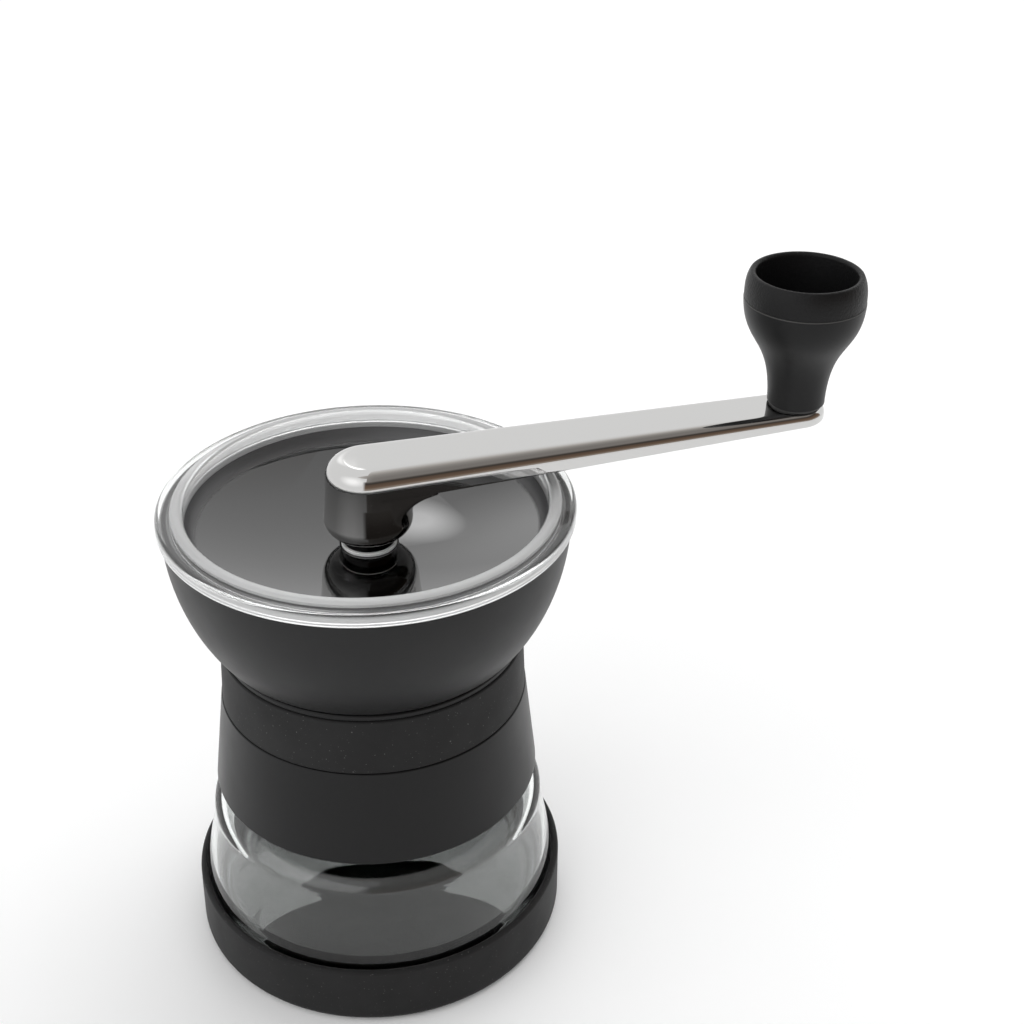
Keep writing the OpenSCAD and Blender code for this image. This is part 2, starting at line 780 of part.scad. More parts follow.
// Least distance between the tube's points one turn apart, as the gap of the spring to itself
spring_self_gap = min([for (i = [0 : spring_rings - 8], p = spring_points[i], q = spring_points[i + 8])
                           norm(p - q)]);
echo(spring_self_gap = spring_self_gap);

module burr_spring() {
    color("#6c6d6f")
    polyhedron([for (level = spring_points, p = level) p],
               stack_faces(spring_rings + 1, spring_sides), convexity = 10);
}

module inner_burr() {
    color("#efeade")
    difference() {
        intersection() {
            toothed_cone(inner_teeth, inner_tip_r, inner_top_r, fine_depth, coarse_depth,
                         inner_burr_z, inner_burr_h);
            translate([0, 0, inner_burr_z]) cylinder(r = burr_r, h = inner_burr_h);
        }
        translate([0, 0, inner_burr_z - cut]) cylinder(r = run_r, h = inner_burr_h + 2 * cut);
        translate([0, 0, spring_foot_z]) cylinder(r = spring_seat_r, h = spring_l);
    }
}

module burr_driver() {
    flat = flat_w / 2 + run_clear;
    color("#b4b7b9")
    difference() {
        translate([0, 0, driver_z]) cylinder(d = driver_d, h = driver_t);
        intersection() {
            translate([0, 0, driver_z - cut]) cylinder(r = run_r, h = driver_t + 2 * cut);
            translate([-flat, -shaft_d, driver_z - cut])
            cube([2 * flat, 2 * shaft_d, driver_t + 2 * cut]);
        }
    }
}

module adjuster_nut() {
    lobe_circle_r = adjuster_d / 2 - lobe_d / 2;
    color("#262627")
    difference() {
        translate([0, 0, adjuster_z])
        union() {
            cylinder(r = lobe_circle_r, h = adjuster_h);
            for (i = [0 : adjuster_lobes - 1])
                rotate([0, 0, 360 * i / adjuster_lobes])
                translate([lobe_circle_r, 0, 0])
                cylinder(d = lobe_d, h = adjuster_h);
        }
        translate([0, 0, adjuster_z - cut]) cylinder(r = run_r, h = adjuster_h + 2 * cut);
    }
}

module lid() {
    ball_z = dish_z + dish_ball_r;
    bead_out_r = dish_r + bead_w;
    color("#e3e7e8", 0.4)
    difference() {
        union() {
            rotate_extrude()
            polygon(concat(
                [[dish_r, rim_z - spigot_h], [spigot_r, rim_z - spigot_h], [spigot_r, rim_z], [lid_r, rim_z]],
                arc([lid_r - lid_round, lid_top_z - lid_round], lid_round, 0, 90, 6),
                arc([bead_out_r - bead_h, lid_top_z], bead_h, 0, 90, 6),
                arc([dish_r + bead_h, lid_top_z], bead_h, 90, 180, 6)));
            intersection() {
                translate([0, 0, dish_z - 2 * dish_t])
                cylinder(r = dish_r + spigot_wall / 2, h = dish_edge_z - dish_z + 2 * dish_t);
                difference() {
                    translate([0, 0, ball_z]) sphere(r = dish_ball_r + dish_t);
                    translate([0, 0, ball_z]) sphere(r = dish_ball_r);
                }
            }
        }
        translate([0, 0, dish_z - 2 * dish_t]) cylinder(r = grommet_hole_r, h = 4 * dish_t);
    }
}

module lid_grommet() {
    foot_z = dish_z - dish_t - grommet_foot_h;
    edge = grommet_top_w / 2;
    color("#151516")
    rotate_extrude()
    polygon([
        [grommet_bore_r, foot_z],
        [grommet_foot_r, foot_z],
        [grommet_foot_r, foot_z + grommet_foot_h],
        [grommet_r, foot_z + grommet_foot_h],
        [grommet_r, grommet_seat_z],
        [grommet_top_r, grommet_seat_z],
        [grommet_top_r, grommet_top_z - edge],
        [grommet_top_r - edge, grommet_top_z],
        [grommet_bore_r, grommet_top_z]]);
}

// A disc with a rounded upper edge, its top at height 0
module rounded_disc(r, t, round_r) {
    rotate_extrude($fn = 40)
    polygon(concat(
        [[0, -t], [r, -t]],
        arc([r - round_r, -round_r], round_r, 0, 90, 5),
        [[0, 0]]));
}

module crank_arm() {
    foot_in_r = hub_r - hub_foot_r;
    fillet_z = crank_z - arm_hub_t - hub_fillet;
    reach_r = hub_r + hub_fillet;
    color("#cfcecb")
    difference() {
        union() {
            hull() {
                translate([0, 0, crank_z]) rounded_disc(arm_hub_r, arm_hub_t, arm_hub_round);
                translate([crank_l, 0, crank_z]) rounded_disc(arm_tip_r, arm_tip_t, arm_tip_round);
            }
            rotate_extrude()
            polygon(concat(
                [[0, hub_z], [hub_neck_d / 2, hub_z], [hub_neck_d / 2, hub_foot_z]],
                arc([foot_in_r, hub_foot_z + hub_foot_r], hub_foot_r, -90, 0, 8),
                [[hub_r - hub_draft, crank_z - arm_hub_t],
                 [arm_hub_r - arm_hub_round, crank_z - arm_hub_round],
                 [0, crank_z - arm_hub_round]]));
            intersection() {
                rotate_extrude()
                polygon(concat(
                    [[0, fillet_z]],
                    arc([reach_r, fillet_z], hub_fillet, 180, 90, 8),
                    [[reach_r, crank_z - arm_hub_round], [0, crank_z - arm_hub_round]]));
                translate([0, 0, hub_z])
                linear_extrude(height = crank_z - hub_z)
                polygon([[0, -arm_hub_r], [crank_l, -arm_tip_r], [crank_l, arm_tip_r], [0, arm_hub_r]]);
            }
        }
        translate([0, 0, hub_z - cut])
        cylinder(r = shaft_r + socket_clear, h = shaft_top_z - hub_z + cut, $fn = 6);
        translate([crank_l, 0, crank_z - 2 * arm_tip_t])
        cylinder(d = pin_end_d, h = 3 * arm_tip_t);
    }
}

module hub_ring() {
    color("#e4e5e6")
    translate([0, 0, ring_z])
    ring(ring_r, ring_bore_r, ring_t);
}

module knob_pin() {
    color("#bfc1c3")
    translate([crank_l, 0, 0])
    difference() {
        union() {
            translate([0, 0, crank_z - arm_tip_t]) cylinder(d = pin_end_d, h = arm_tip_t);
            translate([0, 0, crank_z]) cylinder(r = pin_r, h = pin_head_z - crank_z);
            translate([0, 0, pin_head_z]) cylinder(d = pin_head_d, h = pin_head_h);
        }
        translate([0, 0, pin_head_z + pin_head_h / 2])
        cylinder(d = pin_d, h = pin_head_h, $fn = 6);
    }
}

module knob_washer() {
    color("#2b2b2c")
    translate([crank_l, 0, crank_z])
    ring(knob_foot_r - knob_washer_t, pin_r + run_clear, knob_washer_t);
}

// Outer curve of the knob's stem, from its foot to the seam
function stem_curve() = curve(
    [knob_foot_r, knob_z],
    [knob_foot_r + 0.05 * (knob_r - knob_foot_r), knob_z + 0.64 * seam_h],
    [knob_r - 0.02 * knob_r, knob_z + 0.57 * seam_h],
    [knob_r, seam_z - seam_gap]);

module knob_stem() {
    rebate_r = cup_r + rim_spigot_wall + rim_clear;
    rebate_z = seam_z - rim_spigot_h - rim_clear;
    color("#202021")
    translate([crank_l, 0, 0])
    rotate_extrude()
    polygon(concat(
        [[pin_r + run_clear, knob_z]],
        stem_curve(),
        [[rebate_r, seam_z - seam_gap], [rebate_r, rebate_z], [cup_r, rebate_z]],
        curve([cup_r, rebate_z], [cup_r, rebate_z - 0.4 * (rebate_z - cup_floor_z)],
              [pin_head_d / 2 + 0.65 * (cup_r - pin_head_d / 2), cup_floor_z],
              [pin_head_d / 2 + 0.3 * (cup_r - pin_head_d / 2), cup_floor_z]),
        [[pin_r + run_clear, cup_floor_z]]));
}

module knob_rim() {
    lip_r = (knob_top_z - seam_z) / 8;
    mouth_r = cup_r + lip_r;
    color("#262627")
    translate([crank_l, 0, 0])
    rotate_extrude()
    polygon(concat(
        curve([knob_r, seam_z], [knob_r, seam_z + 0.48 * (knob_top_z - seam_z)],
              [mouth_r + 1.65 * lip_r, knob_top_z - 0.25 * (knob_top_z - seam_z)],
              [mouth_r + lip_r * cos(45), knob_top_z - lip_r + lip_r * sin(45)]),
        arc([mouth_r, knob_top_z - lip_r], lip_r, 45, 180, 8),
        [[cup_r, seam_z - rim_spigot_h],
         [cup_r + rim_spigot_wall, seam_z - rim_spigot_h],
         [cup_r + rim_spigot_wall, seam_z]]));
}

base_boot();
jar();
neck_gasket();
collar();
grip_band();
hopper();
hopper_screws();
outer_burr();
burr_retainer();
bearing_bridge();
upper_bushing();
lower_bushing();
drive_shaft();
thrust_washer();
retaining_clip();
spring_washer();
burr_spring();
inner_burr();
burr_driver();
adjuster_nut();
lid();
lid_grommet();
crank_arm();
hub_ring();
knob_pin();
knob_washer();
knob_stem();
knob_rim();
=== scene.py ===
"""Looks of a manual coffee grinder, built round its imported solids. Metres, +Z up, crank along +X."""
import json
import math

import bmesh
import bpy
from mathutils import Matrix, Vector


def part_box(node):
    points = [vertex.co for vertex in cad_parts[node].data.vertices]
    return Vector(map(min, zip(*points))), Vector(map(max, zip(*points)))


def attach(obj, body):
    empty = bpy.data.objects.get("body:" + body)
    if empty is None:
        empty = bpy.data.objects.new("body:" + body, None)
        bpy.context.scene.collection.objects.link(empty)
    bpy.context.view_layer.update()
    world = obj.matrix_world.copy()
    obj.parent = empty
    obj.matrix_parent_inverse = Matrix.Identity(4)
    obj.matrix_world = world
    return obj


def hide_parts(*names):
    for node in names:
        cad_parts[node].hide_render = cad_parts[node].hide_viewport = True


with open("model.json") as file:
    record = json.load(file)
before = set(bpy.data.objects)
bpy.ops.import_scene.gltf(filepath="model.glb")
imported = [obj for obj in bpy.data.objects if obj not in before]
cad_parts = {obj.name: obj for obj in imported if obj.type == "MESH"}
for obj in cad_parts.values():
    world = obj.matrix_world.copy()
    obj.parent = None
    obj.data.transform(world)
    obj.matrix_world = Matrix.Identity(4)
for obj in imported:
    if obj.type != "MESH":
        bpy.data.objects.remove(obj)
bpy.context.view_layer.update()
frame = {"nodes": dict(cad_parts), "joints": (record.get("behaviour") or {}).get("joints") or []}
MM = 0.001


# Sizes taken from the frame

def low_z(node):
    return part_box(node)[0].z


def high_z(node):
    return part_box(node)[1].z


KNOB_X = next(j for j in frame["joints"] if j["name"] == "knob_spin")["pos_m"][0]
RIM_Z = high_z("hopper")
COLLAR_TOP = high_z("collar")
BAND_TOP = high_z("grip_band")
BAND_FOOT = low_z("grip_band")
SKIRT_FOOT = low_z("collar")
NECK_TOP = high_z("jar")
JAR_FOOT = low_z("jar")
BOOT_TOP = high_z("base_boot")
HOUSING_FOOT = low_z("hopper")
CRANK_TOP = high_z("crank_arm")
HUB_FOOT = low_z("crank_arm")
SHAFT_TOP = high_z("drive_shaft")
GROMMET_TOP = high_z("lid_grommet")
GROMMET_FOOT = low_z("lid_grommet")
RING_FOOT = low_z("hub_ring")
RING_TOP = high_z("hub_ring")
KNOB_FOOT = low_z("knob_stem")
SEAM_Z = high_z("knob_stem")
KNOB_TOP = high_z("knob_rim")

# Sizes of the pieces
LID_R = 49.0 * MM
RIM_R = 48.0 * MM
HOPPER_WALL = 2.2 * MM
BOWL_FOOT_R = 36.7 * MM
FOOT_R = 35.25 * MM
FOOT_GAP = 0.5 * MM
FUNNEL_R = 40.0 * MM
BOWL_FULLNESS = 2.2 * MM
THROAT_R = 17.7 * MM
THROAT_Z = COLLAR_TOP + 2.5 * MM
FUNNEL_H = 11.0 * MM
LEDGE_Z = COLLAR_TOP - FOOT_GAP
HOUSING_R = 20.2 * MM
HOUSING_OUT_R = 22.7 * MM
COLLAR_HOLE_R = 23.0 * MM
BAND_GAP = 0.12 * MM
LIP_R = 36.4 * MM
LIP_Z = BAND_TOP + BAND_GAP
COLLAR_BORE_R = 33.4 * MM
PLATE_Z = COLLAR_TOP - 4.6 * MM
THREAD_Z = PLATE_Z - 14.0 * MM
BAND_TOP_R = 36.75 * MM
BAND_FOOT_R = 37.45 * MM
SEAT_TOP_R = 35.15 * MM
SEAT_FOOT_R = 35.85 * MM
SKIRT_TOP_R = BAND_FOOT_R
SKIRT_TOP_Z = BAND_FOOT - BAND_GAP
SKIRT_FOOT_R = 40.25 * MM
SKIRT_WALL = 2.0 * MM
JAR_R = 44.5 * MM
JAR_WAIST_R = 41.5 * MM
JAR_WALL = 2.8 * MM
JAR_FLOOR = 4.0 * MM
JAR_FOOT_ROUND = 5.0 * MM
NECK_R = 33.0 * MM
SHOULDER_TOP = SKIRT_FOOT - 0.8 * MM
SHOULDER_H = 8.0 * MM
BOOT_WALL = 1.8 * MM
BOOT_GAP = 0.2 * MM
BOOT_FLOOR = JAR_FOOT
RING_BORE_R = 4.3 * MM
RING_R = 6.6 * MM
LID_T = 3.0 * MM
LID_TOP = RIM_Z + LID_T
LID_ROUND = 1.1 * MM
SPIGOT_R = 45.4 * MM
DISH_R = 42.6 * MM
BEAD_R = DISH_R + 3.0 * MM
BEAD_H = high_z("lid") - LID_TOP
SPIGOT_FOOT = RIM_Z - 5.0 * MM
LID_GAP = 0.4 * MM
DISH_Z = LID_TOP - 15.6 * MM
DISH_T = 2.2 * MM
DISH_SHELF_R = RING_R + 0.4 * MM
DISH_SHELF_Z = RING_FOOT + 0.2 * MM
DISH_TURN_R = 40.2 * MM
DISH_TURN_Z = DISH_SHELF_Z + 5.4 * MM
DISH_EDGE = RIM_Z - 0.3 * MM
LID_HOLE_R = 5.45 * MM
GROMMET_BORE_R = 4.5 * MM
GROMMET_R = 5.3 * MM
GROMMET_TOP_R = 6.2 * MM
GROMMET_FOOT_R = 6.6 * MM
ARM_HUB_R = 9.7 * MM
ARM_TIP_R = 7.3 * MM
ARM_HUB_T = 7.3 * MM
ARM_TIP_T = 3.8 * MM
ARM_HUB_ROUND = 4.4 * MM
ARM_TIP_ROUND = 2.2 * MM
HUB_R = 10.5 * MM
HUB_TOP_R = ARM_HUB_R - 0.02 * MM
HUB_NECK_R = 6.2 * MM
HUB_NECK_H = 2.5 * MM
HUB_FOOT_ROUND = 4.0 * MM
HUB_FILLET = 8.3 * MM
FILLET_INSET = 0.5 * MM
SOCKET_R = 4.15 * MM
KNOB_R = 14.8 * MM
KNOB_FOOT_R = 7.1 * MM
CUP_R = 12.2 * MM
CUP_FLOOR = KNOB_FOOT + 16.0 * MM
PIN_R = 3.05 * MM
PIN_HEAD_R = 5.0 * MM
SPIGOT_H = 3.0 * MM
RIM_SPIGOT_WALL = 0.9 * MM
FIT = 0.1 * MM


# Outlines

def curve(p0, p1, p2, p3, steps=40):
    """Points of one cubic curve."""
    points = []
    for i in range(steps + 1):
        t = i / steps
        u = 1 - t
        weights = (u ** 3, 3 * u * u * t, 3 * u * t * t, t ** 3)
        r = sum(w * p[0] for w, p in zip(weights, (p0, p1, p2, p3)))
        z = sum(w * p[1] for w, p in zip(weights, (p0, p1, p2, p3)))
        points.append((r, z))
    return points


def arc(centre, radius, start, end, steps=12):
    """Points of a circular arc, from one angle to another in degrees."""
    angles = [math.radians(start + (end - start) * i / steps) for i in range(steps + 1)]
    return [(centre[0] + radius * math.cos(a), centre[1] + radius * math.sin(a)) for a in angles]


def rounded(corners, steps=6):
    """A closed outline from corners (r, z, radius), with a short straight lead beside each rounding."""
    lead_share = 0.08
    side_share = 0.45
    points = []
    count = len(corners)
    for i, (x, y, radius) in enumerate(corners):
        corner = Vector((x, y))
        if radius == 0:
            points.append((x, y))
            continue
        before = Vector(corners[i - 1][:2]) - corner
        after = Vector(corners[(i + 1) % count][:2]) - corner
        half = before.angle(after) / 2
        reach = min(radius / math.tan(half), side_share * before.length, side_share * after.length)
        radius = reach * math.tan(half)
        before.normalize()
        after.normalize()
        centre = corner + (before + after).normalized() * (radius / math.sin(half))
        first = corner + before * reach
        last = corner + after * reach
        points.append(tuple(first + before * lead_share * reach))
        for k in range(steps + 1):
            way = (first - centre).lerp(last - centre, k / steps)
            points.append(tuple(centre + way.normalized() * radius))
        points.append(tuple(last + after * lead_share * reach))
    return points


# Meshes

TINY = 1e-7


def make_piece(name, mesh_data, material, body, node):
    """A finished piece: it rides on its body and stands for its solid."""
    piece = bpy.data.objects.new(name, mesh_data)
    bpy.context.scene.collection.objects.link(piece)
    piece.data.materials.clear()
    piece.data.materials.append(material)
    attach(piece, body)
    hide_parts(node)


def smooth(mesh, limit=32):
    """Smooth shading, with edges sharper than the limit kept crisp."""
    mesh.shade_smooth()
    mesh.set_sharp_from_angle(angle=math.radians(limit))
    return mesh


def mesh_from(name, bm):
    bmesh.ops.remove_doubles(bm, verts=bm.verts, dist=TINY)
    bmesh.ops.recalc_face_normals(bm, faces=bm.faces)
    mesh = bpy.data.meshes.new(name)
    bm.to_mesh(mesh)
    bm.free()
    return smooth(mesh)


def join_rings(bm, a, b, steps):
    """Faces between two rings of vertices, where a ring of one vertex is a point on the axis."""
    for i in range(steps):
        k = (i + 1) % steps
        corners = [a[i % len(a)], a[k % len(a)], b[k % len(b)], b[i % len(b)]]
        corners = [v for n, v in enumerate(corners) if v not in corners[:n]]
        if len(corners) > 2:
            bm.faces.new(corners)


def lathe(name, outline, x=0.0, steps=192):
    """A closed outline of (r, z) turned about the vertical axis at x."""
    bm = bmesh.new()
    turns = arc((0, 0), 1, 0, 360, steps)[:-1]
    rings = []
    for r, z in outline:
        if r < TINY:
            rings.append([bm.verts.new((x, 0, z))])
        else:
            rings.append([bm.verts.new((x + r * c, r * s, z)) for c, s in turns])
    for a, b in zip(rings, rings[1:] + rings[:1]):
        join_rings(bm, a, b, steps)
    return mesh_from(name, bm)


def turned_piece(name, outline, material, body, node, x=0.0, steps=192):
    make_piece(name, lathe(name, outline, x, steps), material, body, node)


# Materials

class Look:
    """One node material round a Principled shader."""

    def __init__(self, name, color=(0.8, 0.8, 0.8), **sockets):
        self.material = bpy.data.materials.new(name)
        self.material.use_nodes = True
        self.nodes = self.material.node_tree.nodes
        self.links = self.material.node_tree.links
        self.shader = next(n for n in self.nodes if n.type == "BSDF_PRINCIPLED")
        self.shader.inputs["Base Color"].default_value = (*color, 1)
        for key, value in sockets.items():
            self.shader.inputs[key.replace("_", " ")].default_value = value
        self.place = self.nodes.new("ShaderNodeTexCoord").outputs["Object"]

    def stretched(self, scale):
        """The object's own coordinates, stretched along its axes."""
        mapping = self.nodes.new("ShaderNodeMapping")
        mapping.inputs["Scale"].default_value = scale
        self.links.new(self.place, mapping.inputs["Vector"])
        return mapping.outputs["Vector"]

    def noise(self, scale, detail=2.0, roughness=0.5, stretch=None):
        node = self.nodes.new("ShaderNodeTexNoise")
        node.inputs["Scale"].default_value = scale
        node.inputs["Detail"].default_value = detail
        node.inputs["Roughness"].default_value = roughness
        self.links.new(self.stretched(stretch) if stretch else self.place, node.inputs["Vector"])
        return node.outputs["Fac"]

    def remap(self, value, low, high, to_low, to_high):
        node = self.nodes.new("ShaderNodeMapRange")
        limits = {"From Min": low, "From Max": high, "To Min": to_low, "To Max": to_high}
        for socket, number in limits.items():
            node.inputs[socket].default_value = number
        self.links.new(value, node.inputs["Value"])
        return node.outputs["Result"]

    def mix(self, fac, first, second):
        """One colour where the factor is 0 and another where it is 1."""
        node = self.nodes.new("ShaderNodeMix")
        node.data_type = "RGBA"
        self.links.new(fac, node.inputs["Factor"])
        colors = [s for s in node.inputs if s.type == "RGBA"]
        for socket, color in zip(colors, (first, second)):
            if isinstance(color, tuple):
                socket.default_value = (*color, 1)
            else:
                self.links.new(color, socket)
        return next(s for s in node.outputs if s.type == "RGBA")

    def bump(self, height, distance, strength):
        node = self.nodes.new("ShaderNodeBump")
        node.inputs["Strength"].default_value = strength
        node.inputs["Distance"].default_value = distance
        self.links.new(height, node.inputs["Height"])
        self.links.new(node.outputs["Normal"], self.shader.inputs["Normal"])

    def drive(self, socket, value):
        self.links.new(value, self.shader.inputs[socket])

    def math(self, operation, first, second):
        node = self.nodes.new("ShaderNodeMath")
        node.operation = operation
        self.links.new(first, node.inputs[0])
        self.links.new(second, node.inputs[1])
        return node.outputs["Value"]

    def radius(self):
        """Distance from the object's vertical axis."""
        node = self.nodes.new("ShaderNodeVectorMath")
        node.operation = "LENGTH"
        self.links.new(self.stretched((1, 1, 0)), node.inputs[0])
        return node.outputs["Value"]

    def height(self):
        return self.along((0, 0, 0), (0, 0, 1))

    def blend(self, fac, first, second):
        """One value where the factor is 0 and another where it is 1."""
        node = self.nodes.new("ShaderNodeMix")
        for socket, value in zip(("Factor", "A", "B"), (fac, first, second)):
            self.links.new(value, node.inputs[socket])
        return node.outputs["Result"]

    def along(self, start, direction):
        """How far a place lies from a start along a direction."""
        offset = self.nodes.new("ShaderNodeVectorMath")
        offset.operation = "SUBTRACT"
        offset.inputs[1].default_value = start
        self.links.new(self.place, offset.inputs[0])
        share = self.nodes.new("ShaderNodeVectorMath")
        share.operation = "DOT_PRODUCT"
        share.inputs[1].default_value = direction
        self.links.new(offset.outputs["Vector"], share.inputs[0])
        return share.outputs["Value"]

    def from_middle(self):
        """Distance from the middle of the face grid, 1 at its sides."""
        spot = self.nodes.new("ShaderNodeTexCoord").outputs["UV"]
        node = self.nodes.new("ShaderNodeVectorMath")
        node.operation = "DISTANCE"
        node.inputs[1].default_value = (0.5, 0.5, 0)
        self.links.new(spot, node.inputs[0])
        return self.remap(node.outputs["Value"], 0, 0.5, 0.0, 1.0)

    def ramp(self, value, stops):
        """A colour from a list of (position, colour)."""
        node = self.nodes.new("ShaderNodeValToRGB")
        keys = node.color_ramp.elements
        while len(keys) < len(stops):
            keys.new(0.5)
        for key, (position, color) in zip(keys, stops):
            key.position = position
            key.color = (*color, 1)
        self.links.new(value, node.inputs[0])
        return node.outputs["Color"]


def moulded_plastic(name, color, roughness, grain_mm, grain_depth, specular=0.5, painted_highlight_above=None):
    """Moulded plastic: a fine grain, a slow drift of gloss and, if asked for, a pale band painted along
    its top edge as a highlight line.
    """
    look = Look(name, color, Specular_IOR_Level=specular)
    drift = look.noise(60, 3)
    look.drive("Roughness", look.remap(drift, 0.3, 0.7, roughness - 0.04, roughness + 0.05))
    base = look.mix(look.noise(900, 2), color, tuple(1.25 * c for c in color))
    if painted_highlight_above is not None:
        # Painted highlight: above the given height the colour turns pale, standing in for the thin line
        # of light along the seam's edge.
        highlight_band = look.remap(look.height(), painted_highlight_above - 0.05 * MM, painted_highlight_above + 0.05 * MM, 0.0, 0.8)
        base = look.mix(highlight_band, base, (0.07, 0.069, 0.067))
    look.drive("Base Color", base)
    look.bump(look.noise(1 / (grain_mm * MM), 2.0, 0.6), grain_depth * MM, 0.5)
    return look.material


def silicone(name, color, dust=0.0):
    """Matte silicone rubber: a soft sheen, a velvety skin and a few pale specks of dust."""
    look = Look(name, color, Sheen_Weight=0.09, Sheen_Roughness=0.4, Specular_IOR_Level=0.22)
    base = look.mix(look.noise(240, 4), color, tuple(1.35 * c for c in color))
    if dust:
        specks = look.remap(look.noise(2600, 0.0), 0.80, 0.84, 0.0, dust)
        base = look.mix(specks, base, (0.20, 0.195, 0.19))
    look.drive("Base Color", base)
    look.drive("Roughness", look.remap(look.noise(90, 3), 0.3, 0.7, 0.62, 0.74))
    look.bump(look.noise(3500, 2.0), 0.012 * MM, 0.6)
    return look.material


def polished_metal(name, color, roughness, black_below):
    """Bright metal, coloured near-black below a height, with the faint hairlines that polishing leaves.
    """
    look = Look(name, color, Metallic=1.0)
    # Below the given height the colour is near-black; on the crank this covers the hub's neck.
    bright = look.remap(look.height(), black_below - 0.05 * MM, black_below + 0.05 * MM, 0.0, 1.0)
    look.drive("Base Color", look.mix(bright, (0.025, 0.025, 0.025), color))
    hairs = look.noise(500, 4, 0.6, stretch=(0.05, 1, 1))
    look.drive("Roughness", look.remap(hairs, 0.3, 0.7, roughness * 0.7, roughness * 1.5))
    look.bump(look.noise(45, 1.0), 0.004 * MM, 0.25)
    return look.material


def turned_metal(name, color, roughness):
    """Machined metal with fine turning marks round its axis."""
    look = Look(name, color, Metallic=1.0)
    marks = look.noise(700, 2, 0.5, stretch=(0.05, 0.05, 6))
    look.drive("Roughness", look.remap(marks, 0.3, 0.7, roughness - 0.04, roughness + 0.06))
    look.drive("Base Color", look.mix(look.noise(120, 3), color, tuple(0.85 * c for c in color)))
    look.bump(marks, 0.0015 * MM, 0.3)
    return look.material


def lid_acrylic():
    """Moulded acrylic: a smoked dish with a matt edge, a satin bead round it and a clear flange."""
    look = Look("lid_acrylic", IOR=1.49, Coat_Roughness=0.0)
    r = look.radius()
    above_rim = look.remap(look.height(), RIM_Z - 0.4 * MM, RIM_Z - 0.1 * MM, 0.0, 1.0)
    on_edge = look.remap(r, DISH_TURN_R - 0.4 * MM, DISH_TURN_R + 0.4 * MM, 0.0, 1.0)
    on_flange = look.remap(r, BEAD_R - 0.2 * MM, BEAD_R + 0.1 * MM, 0.0, 1.0)
    on_side = look.remap(r, LID_R - 0.5 * MM, LID_R - 0.1 * MM, 0.0, -0.42)
    smoked = look.mix(on_edge, (0.004, 0.004, 0.0042), (0.085, 0.085, 0.087))
    look.drive("Base Color", look.mix(above_rim, smoked, (0.95, 0.955, 0.955)))
    look.drive("Coat Weight", look.remap(look.math("ADD", on_edge, above_rim), 0, 1, 1.0, 0.0))
    clear = look.math("ADD", look.remap(on_flange, 0, 1, 0.6, 0.94), on_side)
    look.drive("Transmission Weight", look.blend(above_rim, look.remap(on_edge, 0, 1, 1.0, 0.2), clear))
    haze = look.remap(look.noise(70, 4), 0.45, 0.75, 0.0, 0.02)
    polished = look.math("ADD", look.remap(on_edge, 0, 1, 0.0, 0.4), haze)
    look.drive("Roughness", look.blend(above_rim, polished, look.remap(on_flange, 0, 1, 0.2, 0.04)))
    look.bump(look.noise(14, 1.0), 0.006 * MM, 0.3)
    return look.material


def clear_glass():
    """Pressed glass with a slight wave in its wall."""
    look = Look("jar_glass", (0.955, 0.978, 0.97), Transmission_Weight=1.0, IOR=1.52)
    look.drive("Roughness", look.remap(look.noise(40, 3), 0.5, 0.8, 0.0, 0.02))
    look.bump(look.noise(28, 1.5), 0.12 * MM, 0.35)
    return look.material


def fired_ceramic():
    """Unglazed ceramic, warm white with fine specks."""
    look = Look("ceramic", (0.84, 0.81, 0.74), Specular_IOR_Level=0.4)
    specks = look.remap(look.noise(1800, 1.0), 0.66, 0.74, 0.0, 0.35)
    look.drive("Base Color", look.mix(specks, (0.84, 0.81, 0.74), (0.55, 0.49, 0.4)))
    look.drive("Roughness", look.remap(look.noise(150, 3), 0.3, 0.7, 0.5, 0.68))
    look.bump(look.noise(1400, 3.0), 0.02 * MM, 0.6)
    return look.material


HOPPER_PLASTIC = moulded_plastic("hopper_plastic", (0.008, 0.008, 0.0083), 0.42, 0.35, 0.012, 0.27)
BODY_PLASTIC = moulded_plastic("body_plastic", (0.006, 0.006, 0.0063), 0.36, 0.5, 0.008, 0.22)
INNER_PLASTIC = moulded_plastic("inner_plastic", (0.020, 0.020, 0.021), 0.45, 0.4, 0.012)
BUSHING = moulded_plastic("bushing_polymer", (0.014, 0.014, 0.0145), 0.34, 0.6, 0.004)
# The knob's stem carries a painted highlight: a pale line along its top edge at the seam.
KNOB_PLASTIC = moulded_plastic("knob_plastic", (0.007, 0.007, 0.0073), 0.40, 0.5, 0.008, 0.2,
                               SEAM_Z - 0.25 * MM)
RIM_PLASTIC = moulded_plastic("knob_rim_plastic", (0.006, 0.006, 0.0063), 0.44, 0.6, 0.3, 0.2)
NYLON = moulded_plastic("nylon", (0.02, 0.02, 0.02), 0.5, 0.4, 0.01)
RING_NYLON = moulded_plastic("ring_nylon", (0.80, 0.80, 0.79), 0.36, 0.5, 0.003)
BAND_SILICONE = silicone("band_silicone", (0.009, 0.009, 0.0093), dust=0.4)
BOOT_SILICONE = silicone("boot_silicone", (0.009, 0.009, 0.0093), dust=0.3)
GROMMET_RUBBER = silicone("grommet_rubber", (0.006, 0.006, 0.0063))
GASKET_SILICONE = silicone("gasket_silicone", (0.70, 0.68, 0.63))
CHROME = polished_metal("chrome", (0.60, 0.597, 0.59), 0.04, HUB_FOOT + HUB_NECK_H)
STEEL = turned_metal("steel", (0.60, 0.61, 0.62), 0.28)
SPRING_STEEL = turned_metal("spring_steel", (0.20, 0.20, 0.205), 0.36)
CERAMIC = fired_ceramic()
ACRYLIC = lid_acrylic()
GLASS = clear_glass()

